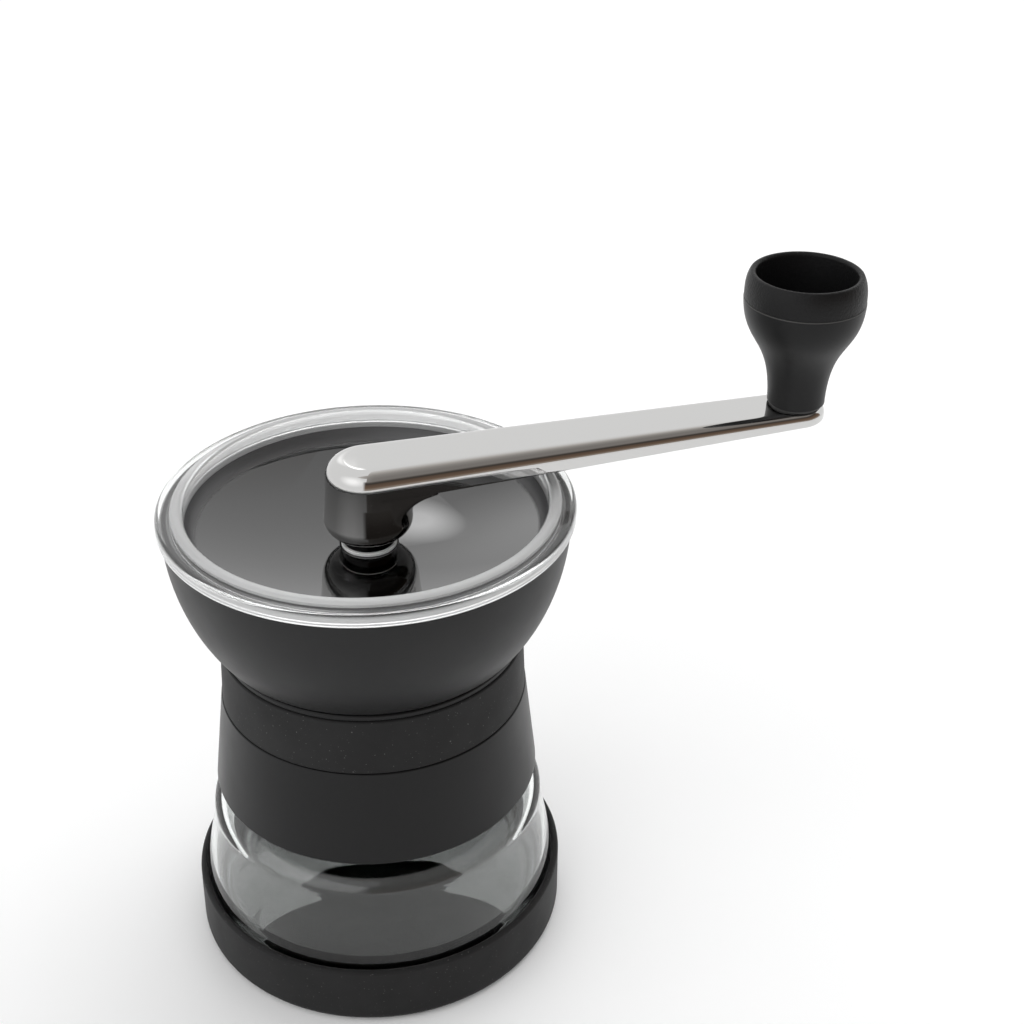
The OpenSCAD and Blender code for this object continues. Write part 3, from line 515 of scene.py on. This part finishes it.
# Solids that keep their own shape
CARRIED_OVER = {
    "neck_gasket": GASKET_SILICONE, "hopper_screws": STEEL, "outer_burr": CERAMIC,
    "burr_retainer": INNER_PLASTIC, "bearing_bridge": INNER_PLASTIC, "upper_bushing": BUSHING,
    "lower_bushing": BUSHING, "drive_shaft": STEEL, "thrust_washer": BUSHING,
    "retaining_clip": SPRING_STEEL, "spring_washer": STEEL, "burr_spring": SPRING_STEEL,
    "inner_burr": CERAMIC, "burr_driver": STEEL, "adjuster_nut": INNER_PLASTIC,
    "knob_pin": STEEL, "knob_washer": NYLON,
}
for node_name, look_material in CARRIED_OVER.items():
    node_mesh = frame["nodes"][node_name].data
    node_mesh.materials.clear()
    node_mesh.materials.append(look_material)


# Jar and boot

def jar_outline():
    waist_z = SHOULDER_TOP - SHOULDER_H
    straight_z = BOOT_TOP + BOOT_GAP
    lip = 0.8 * MM
    foot_pull = 4 * MM
    waist_pull = 6 * MM
    shoulder_low = waist_z + 0.55 * SHOULDER_H
    shoulder_high = SHOULDER_TOP - 0.45 * SHOULDER_H
    outside = [(0, JAR_FOOT)]
    outside += arc((JAR_R - JAR_FOOT_ROUND, JAR_FOOT + JAR_FOOT_ROUND), JAR_FOOT_ROUND, -90, 0)
    outside += curve((JAR_R, straight_z), (JAR_R, straight_z + foot_pull),
                     (JAR_WAIST_R, waist_z - waist_pull), (JAR_WAIST_R, waist_z), 16)
    outside += curve((JAR_WAIST_R, waist_z), (JAR_WAIST_R, shoulder_low),
                     (NECK_R, shoulder_high), (NECK_R, SHOULDER_TOP), 24)[1:]
    outside += arc((NECK_R - lip, NECK_TOP - lip), lip, 0, 90, 6)
    bore = NECK_R - JAR_WALL
    waist = JAR_WAIST_R - JAR_WALL
    foot = JAR_R - JAR_WALL
    floor = JAR_FOOT + JAR_FLOOR
    inside = arc((bore + lip, NECK_TOP - lip), lip, 90, 180, 6)
    inside += curve((bore, SHOULDER_TOP - JAR_WALL / 2), (bore, shoulder_high - JAR_WALL / 2),
                    (waist, shoulder_low - JAR_WALL), (waist, waist_z - JAR_WALL / 2), 24)
    inside += curve((waist, waist_z - JAR_WALL / 2), (waist, waist_z - waist_pull),
                    (foot, straight_z + foot_pull), (foot, straight_z), 16)[1:]
    inside += arc((foot - JAR_FOOT_ROUND, floor + JAR_FOOT_ROUND), JAR_FOOT_ROUND, 0, -90)
    inside += [(0, floor)]
    return outside + inside


def boot_outline():
    inner = JAR_R + BOOT_GAP
    outer = inner + BOOT_WALL
    edge = BOOT_WALL / 2
    points = [(0, 0)]
    points += arc((outer - BOOT_FLOOR, BOOT_FLOOR), BOOT_FLOOR, -90, 0)
    points += arc((outer - edge, BOOT_TOP - edge), edge, 0, 180)
    points += arc((inner - JAR_FOOT_ROUND, BOOT_FLOOR + JAR_FOOT_ROUND), JAR_FOOT_ROUND, 0, -90)
    points += [(0, BOOT_FLOOR)]
    return points


turned_piece("jar_glass_body", jar_outline(), GLASS, "jar", "jar")
turned_piece("boot_shell", boot_outline(), BOOT_SILICONE, "jar", "base_boot")


# Head: collar, band and hopper

def collar_outline():
    soft = 0.5 * MM
    return rounded([
        (COLLAR_HOLE_R, COLLAR_TOP, 0.2 * MM),
        (LIP_R, COLLAR_TOP, soft),
        (LIP_R, LIP_Z, 0.25 * MM),
        (SEAT_TOP_R, LIP_Z, 0),
        (SEAT_FOOT_R, SKIRT_TOP_Z, 0),
        (SKIRT_TOP_R, SKIRT_TOP_Z, 0.3 * MM),
        (SKIRT_FOOT_R, SKIRT_FOOT, 0.8 * MM),
        (SKIRT_FOOT_R - SKIRT_WALL, SKIRT_FOOT, 0.8 * MM),
        (COLLAR_BORE_R, THREAD_Z, 1.0 * MM),
        (COLLAR_BORE_R, PLATE_Z, 0.4 * MM),
        (COLLAR_HOLE_R, PLATE_Z, 0.2 * MM)])


def band_outline():
    soft = 0.5 * MM
    inset = 0.2 * MM
    return rounded([
        (SEAT_TOP_R + BAND_GAP, BAND_TOP, 0),
        (BAND_TOP_R, BAND_TOP, soft),
        (BAND_FOOT_R - inset, BAND_FOOT, 0.25 * MM),
        (SEAT_FOOT_R + BAND_GAP, BAND_FOOT, 0)], 8)


def bowl_curve():
    span = RIM_R - BOWL_FOOT_R
    rise = RIM_Z - COLLAR_TOP
    return curve((BOWL_FOOT_R, COLLAR_TOP + FOOT_GAP),
                 (FUNNEL_R + BOWL_FULLNESS, COLLAR_TOP + 0.2 * rise),
                 (RIM_R - 0.04 * span, COLLAR_TOP + 0.55 * rise), (RIM_R, RIM_Z))


def hopper_outline():
    edge = 0.6 * MM
    foot_edge = 0.3 * MM
    inner = RIM_R - HOPPER_WALL
    rise = RIM_Z - COLLAR_TOP
    funnel_z = THROAT_Z + FUNNEL_H
    points = arc((BOWL_FOOT_R - foot_edge, COLLAR_TOP + FOOT_GAP + foot_edge), foot_edge, -90, -40, 4)
    points += bowl_curve()[2:-1]
    points += arc((RIM_R - edge, RIM_Z - edge), edge, 0, 90, 6)
    points += arc((inner + edge, RIM_Z - edge), edge, 90, 180, 6)
    points += curve((inner, SPIGOT_FOOT - LID_GAP), (inner, RIM_Z - 0.35 * rise),
                    (FUNNEL_R + HOPPER_WALL, funnel_z + HOPPER_WALL), (FUNNEL_R, funnel_z))
    points += arc((THROAT_R + edge, THROAT_Z - edge), edge, 90, 180, 5)
    points += [(THROAT_R, LEDGE_Z), (HOUSING_R, LEDGE_Z), (HOUSING_R, HOUSING_FOOT),
               (HOUSING_OUT_R, HOUSING_FOOT), (HOUSING_OUT_R, COLLAR_TOP), (FOOT_R, COLLAR_TOP),
               (FOOT_R, COLLAR_TOP + FOOT_GAP)]
    return points


turned_piece("collar_shell", collar_outline(), BODY_PLASTIC, "head", "collar")
turned_piece("band_sleeve", band_outline(), BAND_SILICONE, "head", "grip_band")
turned_piece("hopper_bowl", hopper_outline(), HOPPER_PLASTIC, "head", "hopper")


# Lid and grommet

def lid_outline():
    """A shallow dish with a recess for grommet and ring, inside a bead, a flange and a spigot."""
    edge = 0.5 * MM
    seat = DISH_Z + 0.15 * MM
    third = (DISH_TURN_R - DISH_SHELF_R) / 3
    wall = (DISH_R - DISH_TURN_R) / 3
    lean_in, lean_out, lean_wall = 0.05, 0.30, 2.5
    dish = curve((DISH_SHELF_R, DISH_SHELF_Z), (DISH_SHELF_R + third, DISH_SHELF_Z + lean_in * third),
                 (DISH_TURN_R - third, DISH_TURN_Z - lean_out * third), (DISH_TURN_R, DISH_TURN_Z))
    dish += curve((DISH_TURN_R, DISH_TURN_Z), (DISH_TURN_R + wall, DISH_TURN_Z + lean_out * wall),
                  (DISH_R - wall, DISH_EDGE - lean_wall * wall), (DISH_R, DISH_EDGE), 20)[1:]
    bead = arc((DISH_R + BEAD_H, LID_TOP), BEAD_H, 180, 90)
    bead += arc((BEAD_R - BEAD_H, LID_TOP), BEAD_H, 90, 0)
    outer = rounded([
        (BEAD_R, LID_TOP, 0),
        (LID_R, LID_TOP, LID_ROUND),
        (LID_R, RIM_Z, edge),
        (SPIGOT_R, RIM_Z, 0.3 * MM),
        (SPIGOT_R, SPIGOT_FOOT, edge),
        (DISH_R, SPIGOT_FOOT, 0)])
    under = curve((DISH_R, SPIGOT_FOOT), (DISH_R - third, DISH_TURN_Z - DISH_T),
                  (DISH_SHELF_R + third, DISH_Z - DISH_T), (LID_HOLE_R, DISH_Z - DISH_T + 0.2 * MM), 24)
    return [(LID_HOLE_R, seat), (DISH_SHELF_R, seat)] + dish + bead + outer[1:-1] + under


def grommet_outline():
    seat = DISH_Z + 0.3 * MM
    waist_z = GROMMET_FOOT + 1.4 * MM
    return rounded([
        (GROMMET_BORE_R, GROMMET_FOOT, 0.2 * MM),
        (GROMMET_FOOT_R, GROMMET_FOOT, 0.5 * MM),
        (GROMMET_FOOT_R, waist_z, 0.2 * MM),
        (GROMMET_R, waist_z, 0),
        (GROMMET_R, seat, 0),
        (GROMMET_TOP_R, seat, 0.2 * MM),
        (GROMMET_TOP_R, GROMMET_TOP, 0.5 * MM),
        (GROMMET_BORE_R, GROMMET_TOP, 0.2 * MM)])


turned_piece("lid_shell", lid_outline(), ACRYLIC, "lid", "lid", steps=256)
turned_piece("grommet_ring", grommet_outline(), GROMMET_RUBBER, "lid", "lid_grommet")


# Crank

def tapered(x, hub_value, tip_value):
    """A size that changes evenly along the arm, from the hub's axis to the knob's."""
    return hub_value + (tip_value - hub_value) * x / KNOB_X


def side_points(first, last, steps=48):
    return [(first[0].lerp(last[0], i / steps), first[1]) for i in range(1, steps)]


def arm_plan():
    """Points of the arm's plan outline with their outward normals."""
    lean = math.asin((ARM_HUB_R - ARM_TIP_R) / KNOB_X)
    turn = math.pi / 2 - lean
    ends = []
    for cx, radius, start, end, steps in ((0.0, ARM_HUB_R, turn, 2 * math.pi - turn, 96),
                                          (KNOB_X, ARM_TIP_R, -turn, turn, 72)):
        points = []
        for i in range(steps + 1):
            a = start + (end - start) * i / steps
            normal = Vector((math.cos(a), math.sin(a)))
            points.append((Vector((cx, 0)) + radius * normal, normal))
        ends.append(points)
    hub, tip = ends
    return hub + side_points(hub[-1], tip[0]) + tip + side_points(tip[-1], hub[0])


def arm_profile(x):
    """Inset and height of the arm's edge at x, from its top face round to its underside."""
    top_round = tapered(x, ARM_HUB_ROUND, ARM_TIP_ROUND)
    foot_round = 0.7 * MM
    foot = CRANK_TOP - tapered(x, ARM_HUB_T, ARM_TIP_T)
    lead = 0.4 * MM
    side_lead = 0.1 * MM
    points = [(top_round + lead, CRANK_TOP)]
    points += [(top_round - dx, dz) for dx, dz in arc((0, CRANK_TOP - top_round), top_round, 90, 0, 14)]
    points += [(0, CRANK_TOP - top_round - side_lead), (0, foot + foot_round + side_lead)]
    points += [(foot_round - dx, dz) for dx, dz in arc((0, foot + foot_round), foot_round, 0, -90, 6)]
    points += [(foot_round + lead, foot)]
    return points


def arm_mesh():
    bm = bmesh.new()
    columns = []
    for place, normal in arm_plan():
        column = []
        for inset, z in arm_profile(place.x):
            spot = place - normal * inset
            column.append(bm.verts.new((spot.x, spot.y, z)))
        columns.append(column)
    for a, b in zip(columns, columns[1:] + columns[:1]):
        for i in range(len(a) - 1):
            bm.faces.new((a[i], a[i + 1], b[i + 1], b[i]))
    bm.faces.new([c[0] for c in columns])
    bm.faces.new([c[-1] for c in reversed(columns)])
    return mesh_from("arm", bm)


def hub_radius(angle, z, base):
    """Radius of the hub's wall at an angle: on the arm's side it flares into the fillet."""
    fillet_z = CRANK_TOP - ARM_HUB_T - HUB_FILLET
    if z <= fillet_z or math.cos(angle) <= 0:
        return base
    highest = 0.995 * HUB_FILLET
    climb = min(z - fillet_z, highest)
    flare = base + HUB_FILLET - math.sqrt(HUB_FILLET ** 2 - climb ** 2)
    limit = (ARM_HUB_R - FILLET_INSET) / max(abs(math.sin(angle)), TINY)
    soft = 0.8 * MM
    lower = min(flare, limit)
    eased = lower - soft / 4 * max(0.0, 1 - abs(flare - limit) / soft) ** 2
    return max(base, eased)


def hub_mesh(steps=192):
    wall_foot = HUB_FOOT + HUB_NECK_H + HUB_FOOT_ROUND
    wall_top = CRANK_TOP - ARM_HUB_ROUND - 0.3 * MM
    wall_steps = 30
    bell = 1.5
    core_r = ARM_HUB_R - 2 * MM
    edge = 0.35 * MM
    outline = [(0, HUB_FOOT)]
    outline += arc((HUB_NECK_R - edge, HUB_FOOT + edge), edge, -90, 0, 4)
    outline += [(HUB_NECK_R, HUB_FOOT + HUB_NECK_H)]
    outline += arc((HUB_R - HUB_FOOT_ROUND, wall_foot), HUB_FOOT_ROUND, -90, 0, 18)
    for i in range(1, wall_steps + 1):
        t = i / wall_steps
        r = HUB_TOP_R + (HUB_R - HUB_TOP_R) * (1 - t) ** bell
        outline.append((r, wall_foot + (wall_top - wall_foot) * t))
    outline += [(core_r, wall_top), (core_r, CRANK_TOP - ARM_HUB_ROUND)]
    bm = bmesh.new()
    rings = []
    for base, z in outline:
        if base < TINY:
            rings.append([bm.verts.new((0, 0, z))])
            continue
        ring = []
        for i in range(steps):
            a = 2 * math.pi * i / steps
            r = hub_radius(a, z, base) if base > ARM_HUB_R - 1 * MM else base
            ring.append(bm.verts.new((r * math.cos(a), r * math.sin(a), z)))
        rings.append(ring)
    for a, b in zip(rings, rings[1:]):
        join_rings(bm, a, b, steps)
    bm.faces.new(rings[-1])
    return mesh_from("hub", bm)


def hex_mesh():
    """The hex socket's prism, from under the hub to the shaft's top."""
    bm = bmesh.new()
    corners = arc((0, 0), SOCKET_R, 0, 300, 5)
    below = 1 * MM
    ends = [[bm.verts.new((x, y, z)) for x, y in corners] for z in (HUB_FOOT - below, SHAFT_TOP)]
    for i in range(6):
        k = (i + 1) % 6
        bm.faces.new((ends[0][i], ends[0][k], ends[1][k], ends[1][i]))
    bm.faces.new(list(reversed(ends[0])))
    bm.faces.new(ends[1])
    return mesh_from("hex", bm)


def combined(first, second, operation):
    """The boolean of two closed meshes as a new mesh."""
    a = bpy.data.objects.new("first", first)
    b = bpy.data.objects.new("second", second)
    for o in (a, b):
        bpy.context.scene.collection.objects.link(o)
    modifier = a.modifiers.new("combine", "BOOLEAN")
    modifier.operation = operation
    modifier.solver = "EXACT"
    modifier.object = b
    bpy.context.view_layer.update()
    made = bpy.data.meshes.new_from_object(a.evaluated_get(bpy.context.evaluated_depsgraph_get()))
    for o in (a, b):
        bpy.data.objects.remove(o)
    return smooth(made, 30)


crank_mesh = combined(combined(arm_mesh(), hub_mesh(), "UNION"), hex_mesh(), "DIFFERENCE")
crank_mesh.name = "crank_polished"
make_piece("crank_polished", crank_mesh, CHROME, "crank", "crank_arm")


def ring_outline():
    edge = 0.2 * MM
    return rounded([(RING_BORE_R, RING_FOOT, 0.1 * MM), (RING_R, RING_FOOT, edge),
                    (RING_R, RING_TOP, edge), (RING_BORE_R, RING_TOP, 0.1 * MM)])


turned_piece("hub_ferrule", ring_outline(), RING_NYLON, "crank", "hub_ring")


# Knob

def stem_outline():
    rise = SEAM_Z - KNOB_FOOT
    rebate = CUP_R + RIM_SPIGOT_WALL + FIT
    rebate_z = SEAM_Z - SPIGOT_H + FIT
    edge = 0.35 * MM
    points = [(PIN_R, KNOB_FOOT)]
    points += arc((KNOB_FOOT_R - edge, KNOB_FOOT + edge), edge, -90, 0, 5)
    crisp = 0.1 * MM
    points += curve((KNOB_FOOT_R, KNOB_FOOT + 2 * edge),
                    (KNOB_FOOT_R + 0.05 * (KNOB_R - KNOB_FOOT_R), KNOB_FOOT + 0.64 * rise),
                    (0.98 * KNOB_R, KNOB_FOOT + 0.57 * rise), (KNOB_R, SEAM_Z - crisp), 48)
    points += arc((KNOB_R - crisp, SEAM_Z - crisp), crisp, 0, 90, 5)
    points += [(rebate, SEAM_Z), (rebate, rebate_z), (CUP_R, rebate_z)]
    reach = CUP_R - PIN_HEAD_R
    points += curve((CUP_R, rebate_z), (CUP_R, rebate_z - 0.4 * (rebate_z - CUP_FLOOR)),
                    (PIN_HEAD_R + 0.65 * reach, CUP_FLOOR),
                    (PIN_HEAD_R + 0.3 * reach, CUP_FLOOR), 24)[1:]
    points += [(PIN_R, CUP_FLOOR)]
    return points


def rim_outline():
    foot = SEAM_Z + 0.02 * MM
    inset = 0.1 * MM
    rise = KNOB_TOP - foot
    lip = rise / 8
    mouth = CUP_R + lip
    edge = 0.1 * MM
    slant = math.radians(45)
    points = arc((KNOB_R - inset - edge, foot + edge), edge, -90, 0, 5)
    points += curve((KNOB_R - inset, foot + 2 * edge), (KNOB_R, foot + 0.48 * rise),
                    (mouth + 1.65 * lip, KNOB_TOP - 0.25 * rise),
                    (mouth + lip * math.cos(slant), KNOB_TOP - lip + lip * math.sin(slant)), 32)
    points += arc((mouth, KNOB_TOP - lip), lip, 45, 180, 12)[1:]
    points += [(CUP_R, foot - SPIGOT_H), (CUP_R + RIM_SPIGOT_WALL, foot - SPIGOT_H),
               (CUP_R + RIM_SPIGOT_WALL, foot)]
    return points


turned_piece("knob_body", stem_outline(), KNOB_PLASTIC, "knob", "knob_stem", KNOB_X)
turned_piece("knob_ring", rim_outline(), RIM_PLASTIC, "knob", "knob_rim", KNOB_X)


# Camera, from the photograph's perspective

CAMERA_AZIMUTH = math.radians(17.5)
CAMERA_SIDE = 42.34 * MM
CAMERA_BACK = 340.20 * MM
CAMERA_HEIGHT = 319.30 * MM
CAMERA_PLACE = Vector((
    CAMERA_SIDE * math.cos(CAMERA_AZIMUTH) - CAMERA_BACK * math.sin(CAMERA_AZIMUTH),
    -CAMERA_SIDE * math.sin(CAMERA_AZIMUTH) - CAMERA_BACK * math.cos(CAMERA_AZIMUTH),
    CAMERA_HEIGHT))
CAMERA_PITCH = math.radians(27.91)
CAMERA_ROLL = math.radians(1.06)
PHOTO_SIZE = 1024
FOCAL_PIXELS = 1683.08
AXIS_PIXEL = (549.84, 430.0)

camera_data = bpy.data.cameras.new("camera")
camera = bpy.data.objects.new("camera", camera_data)
bpy.context.scene.collection.objects.link(camera)
bpy.context.scene.camera = camera
camera_data.sensor_width = 36.0
camera_data.lens = FOCAL_PIXELS / PHOTO_SIZE * camera_data.sensor_width
camera_data.shift_x = (PHOTO_SIZE / 2 - AXIS_PIXEL[0]) / PHOTO_SIZE
camera_data.shift_y = (AXIS_PIXEL[1] - PHOTO_SIZE / 2) / PHOTO_SIZE
camera_data.clip_start = 0.01
ahead = Vector((math.cos(CAMERA_PITCH) * math.sin(CAMERA_AZIMUTH),
                math.cos(CAMERA_PITCH) * math.cos(CAMERA_AZIMUTH), -math.sin(CAMERA_PITCH)))
level_right = Vector((math.cos(CAMERA_AZIMUTH), -math.sin(CAMERA_AZIMUTH), 0))
level_up = level_right.cross(ahead)
right = level_right * math.cos(CAMERA_ROLL) + level_up * math.sin(CAMERA_ROLL)
up = level_up * math.cos(CAMERA_ROLL) - level_right * math.sin(CAMERA_ROLL)
camera.matrix_world = Matrix((
    (right.x, up.x, -ahead.x, CAMERA_PLACE.x),
    (right.y, up.y, -ahead.y, CAMERA_PLACE.y),
    (right.z, up.z, -ahead.z, CAMERA_PLACE.z),
    (0, 0, 0, 1)))


# Stage: floor, lamps, the room that shows in reflections, and the world

MIDDLE = Vector((0.03, 0.0, 0.1))
FLOOR_R = 8.0
FLOOR_DROP = 0.05 * MM
CANOPY_R = 1.7
GLOW_R = 1.65
FLAG_R = 1.6
WORLD_LIGHT = 0.7


def stage_object(name, bm, material):
    """A thing that stands round the part and isn't one of its pieces."""
    mesh = bpy.data.meshes.new(name)
    bm.to_mesh(mesh)
    bm.free()
    thing = bpy.data.objects.new(name, mesh)
    thing.data.materials.append(material)
    bpy.context.scene.collection.objects.link(thing)
    return thing


def seen_directly(tree):
    """1 for rays from the camera, off gloss and through glass, and 0 for the rest."""
    rays = tree.nodes.new("ShaderNodeLightPath")
    seen = rays.outputs["Is Camera Ray"]
    for kind in ("Is Glossy Ray", "Is Transmission Ray"):
        either = tree.nodes.new("ShaderNodeMath")
        either.operation = "MAXIMUM"
        tree.links.new(seen, either.inputs[0])
        tree.links.new(rays.outputs[kind], either.inputs[1])
        seen = either.outputs["Value"]
    return seen


def floor_material():
    """A pale floor that keeps the shadow and, far off, is as white as the background."""
    pale = (0.95, 0.95, 0.95)
    look = Look("floor", pale, Roughness=0.9, Specular_IOR_Level=0.1, Emission_Color=(1, 1, 1, 1))
    far = look.remap(look.radius(), 0.45, 1.1, 0.0, 1.0)
    white = look.math("MULTIPLY", far, seen_directly(look.material.node_tree))
    look.drive("Base Color", look.mix(white, pale, (0, 0, 0)))
    look.drive("Emission Strength", white)
    return look.material


floor_disc = bmesh.new()
bmesh.ops.create_circle(floor_disc, cap_ends=True, radius=FLOOR_R, segments=128)
stage_object("floor", floor_disc, floor_material()).location.z = -FLOOR_DROP


def towards(degrees, elevation=0.0):
    """A direction from the part: bearing 0 is the camera's, positive to the picture's left."""
    turn = math.radians(degrees)
    lift = math.radians(elevation)
    front = Vector((-math.sin(CAMERA_AZIMUTH), -math.cos(CAMERA_AZIMUTH), 0))
    level = front * math.cos(turn) - level_right * math.sin(turn)
    return level * math.cos(lift) + Vector((0, 0, math.sin(lift)))


def on_dome(distance, degrees, elevation):
    return MIDDLE + distance * towards(degrees, elevation)


def softbox(name, place, size, watts):
    """A soft lamp aimed at the part, left out of reflections."""
    lamp_data = bpy.data.lights.new(name, "AREA")
    lamp_data.shape = "RECTANGLE"
    lamp_data.size, lamp_data.size_y = size
    lamp_data.energy = watts
    lamp = bpy.data.objects.new(name, lamp_data)
    lamp.location = place
    lamp.rotation_mode = "QUATERNION"
    lamp.rotation_quaternion = (MIDDLE - place).to_track_quat("-Z", "Y")
    lamp.visible_glossy = False
    bpy.context.scene.collection.objects.link(lamp)


softbox("window", on_dome(1.5, 46, 28), (2.0, 1.0), 8.0)
softbox("ceiling", on_dome(1.6, -158, 54), (2.0, 1.3), 14.0)


def dome_patch(name, distance, bearings, elevations, material, steps=24):
    """Part of a dome between two bearings and two elevations, seen only in reflections."""
    bm = bmesh.new()
    grid = []
    for i in range(steps + 1):
        degrees = bearings[0] + (bearings[1] - bearings[0]) * i / steps
        grid.append([])
        for k in range(steps + 1):
            elevation = elevations[0] + (elevations[1] - elevations[0]) * k / steps
            grid[i].append(bm.verts.new(on_dome(distance, degrees, elevation)))
    spots = bm.loops.layers.uv.new("grid")
    for i in range(steps):
        for k in range(steps):
            corners = ((i, k), (i + 1, k), (i + 1, k + 1), (i, k + 1))
            face = bm.faces.new([grid[a][b] for a, b in corners])
            for loop, (a, b) in zip(face.loops, corners):
                loop[spots].uv = (a / steps, b / steps)
    patch = stage_object(name, bm, material)
    for kind in ("camera", "diffuse", "shadow", "transmission", "volume_scatter"):
        setattr(patch, "visible_" + kind, False)


def shining(name, **sockets):
    """A surface that only gives off light."""
    return Look(name, (0, 0, 0), Roughness=1.0, Specular_IOR_Level=0.0, **sockets)


def glow(name, distance, middle, reach, peak, edge):
    """A soft bright patch, from the bearing and elevation of its middle and half its size."""
    look = shining(name, Emission_Color=(1, 1, 1, 1))
    look.drive("Emission Strength", look.remap(look.from_middle(), 0.25, 1.0, peak, edge))
    bearings = (middle[0] - reach[0], middle[0] + reach[0])
    dome_patch(name, distance, bearings, (middle[1] - reach[1], middle[1] + reach[1]), look.material)


def canopy_material():
    """The dim side of the room: grey round one direction, fading to the white of the rest."""
    dim_axis = towards(-60, 35)
    look = shining("canopy", Emission_Strength=1.0)
    look.drive("Emission Color", look.ramp(look.along(MIDDLE, dim_axis / CANOPY_R), [
        (0.1, (1.0, 1.0, 1.0)), (0.28, (0.90, 0.89, 0.88)), (0.39, (0.80, 0.78, 0.76)),
        (0.574, (0.53, 0.50, 0.47)), (0.70, (0.38, 0.36, 0.34)), (0.86, (0.28, 0.26, 0.245))]))
    return look.material


def flag_material():
    """A dark card at the height that the arm and hub mirror, with a soft edge at its left."""
    look = shining("flag", Emission_Strength=1.0)
    tone = look.ramp(look.along(MIDDLE, Vector((0, 0, 1)) / FLAG_R), [
        (0.0, (0.42, 0.36, 0.31)), (0.22, (0.20, 0.135, 0.095)), (0.50, (0.13, 0.09, 0.066)),
        (0.60, (0.06, 0.052, 0.046)), (0.68, (0.12, 0.105, 0.095)), (0.76, (0.26, 0.24, 0.22))])
    covered = look.remap(look.along(MIDDLE, towards(-90) / FLAG_R), -0.12, 0.0, 0.0, 1.0)
    look.drive("Emission Color", look.mix(covered, (1, 1, 1), tone))
    return look.material


glow("window_glow", GLOW_R, (44, 42), (46, 28), 1.5, 1.0)
glow("back_glow", GLOW_R, (158, 29), (13, 13), 1.45, 1.0)
glow("lamp_glow", FLAG_R, (168, 37), (3.2, 7.0), 3.3, 1.25)
dome_patch("canopy", CANOPY_R, (60, -180), (36, 89), canopy_material())
dome_patch("flag", FLAG_R, (9, -105), (-2, 49), flag_material())


def studio_world():
    """Soft light on the part, and white where the background itself is seen."""
    world = bpy.data.worlds.new("studio")
    world.use_nodes = True
    tree = world.node_tree
    lit = next(n for n in tree.nodes if n.type == "BACKGROUND")
    white = tree.nodes.new("ShaderNodeBackground")
    for background, strength in ((lit, WORLD_LIGHT), (white, 1.0)):
        background.inputs["Color"].default_value = (1, 1, 1, 1)
        background.inputs["Strength"].default_value = strength
    choose = tree.nodes.new("ShaderNodeMixShader")
    tree.links.new(seen_directly(tree), choose.inputs["Fac"])
    tree.links.new(lit.outputs["Background"], choose.inputs[1])
    tree.links.new(white.outputs["Background"], choose.inputs[2])
    output = next(n for n in tree.nodes if n.type == "OUTPUT_WORLD")
    tree.links.new(choose.outputs["Shader"], output.inputs["Surface"])
    return world


bpy.context.scene.world = studio_world()
bpy.context.scene.view_settings.view_transform = "Standard"
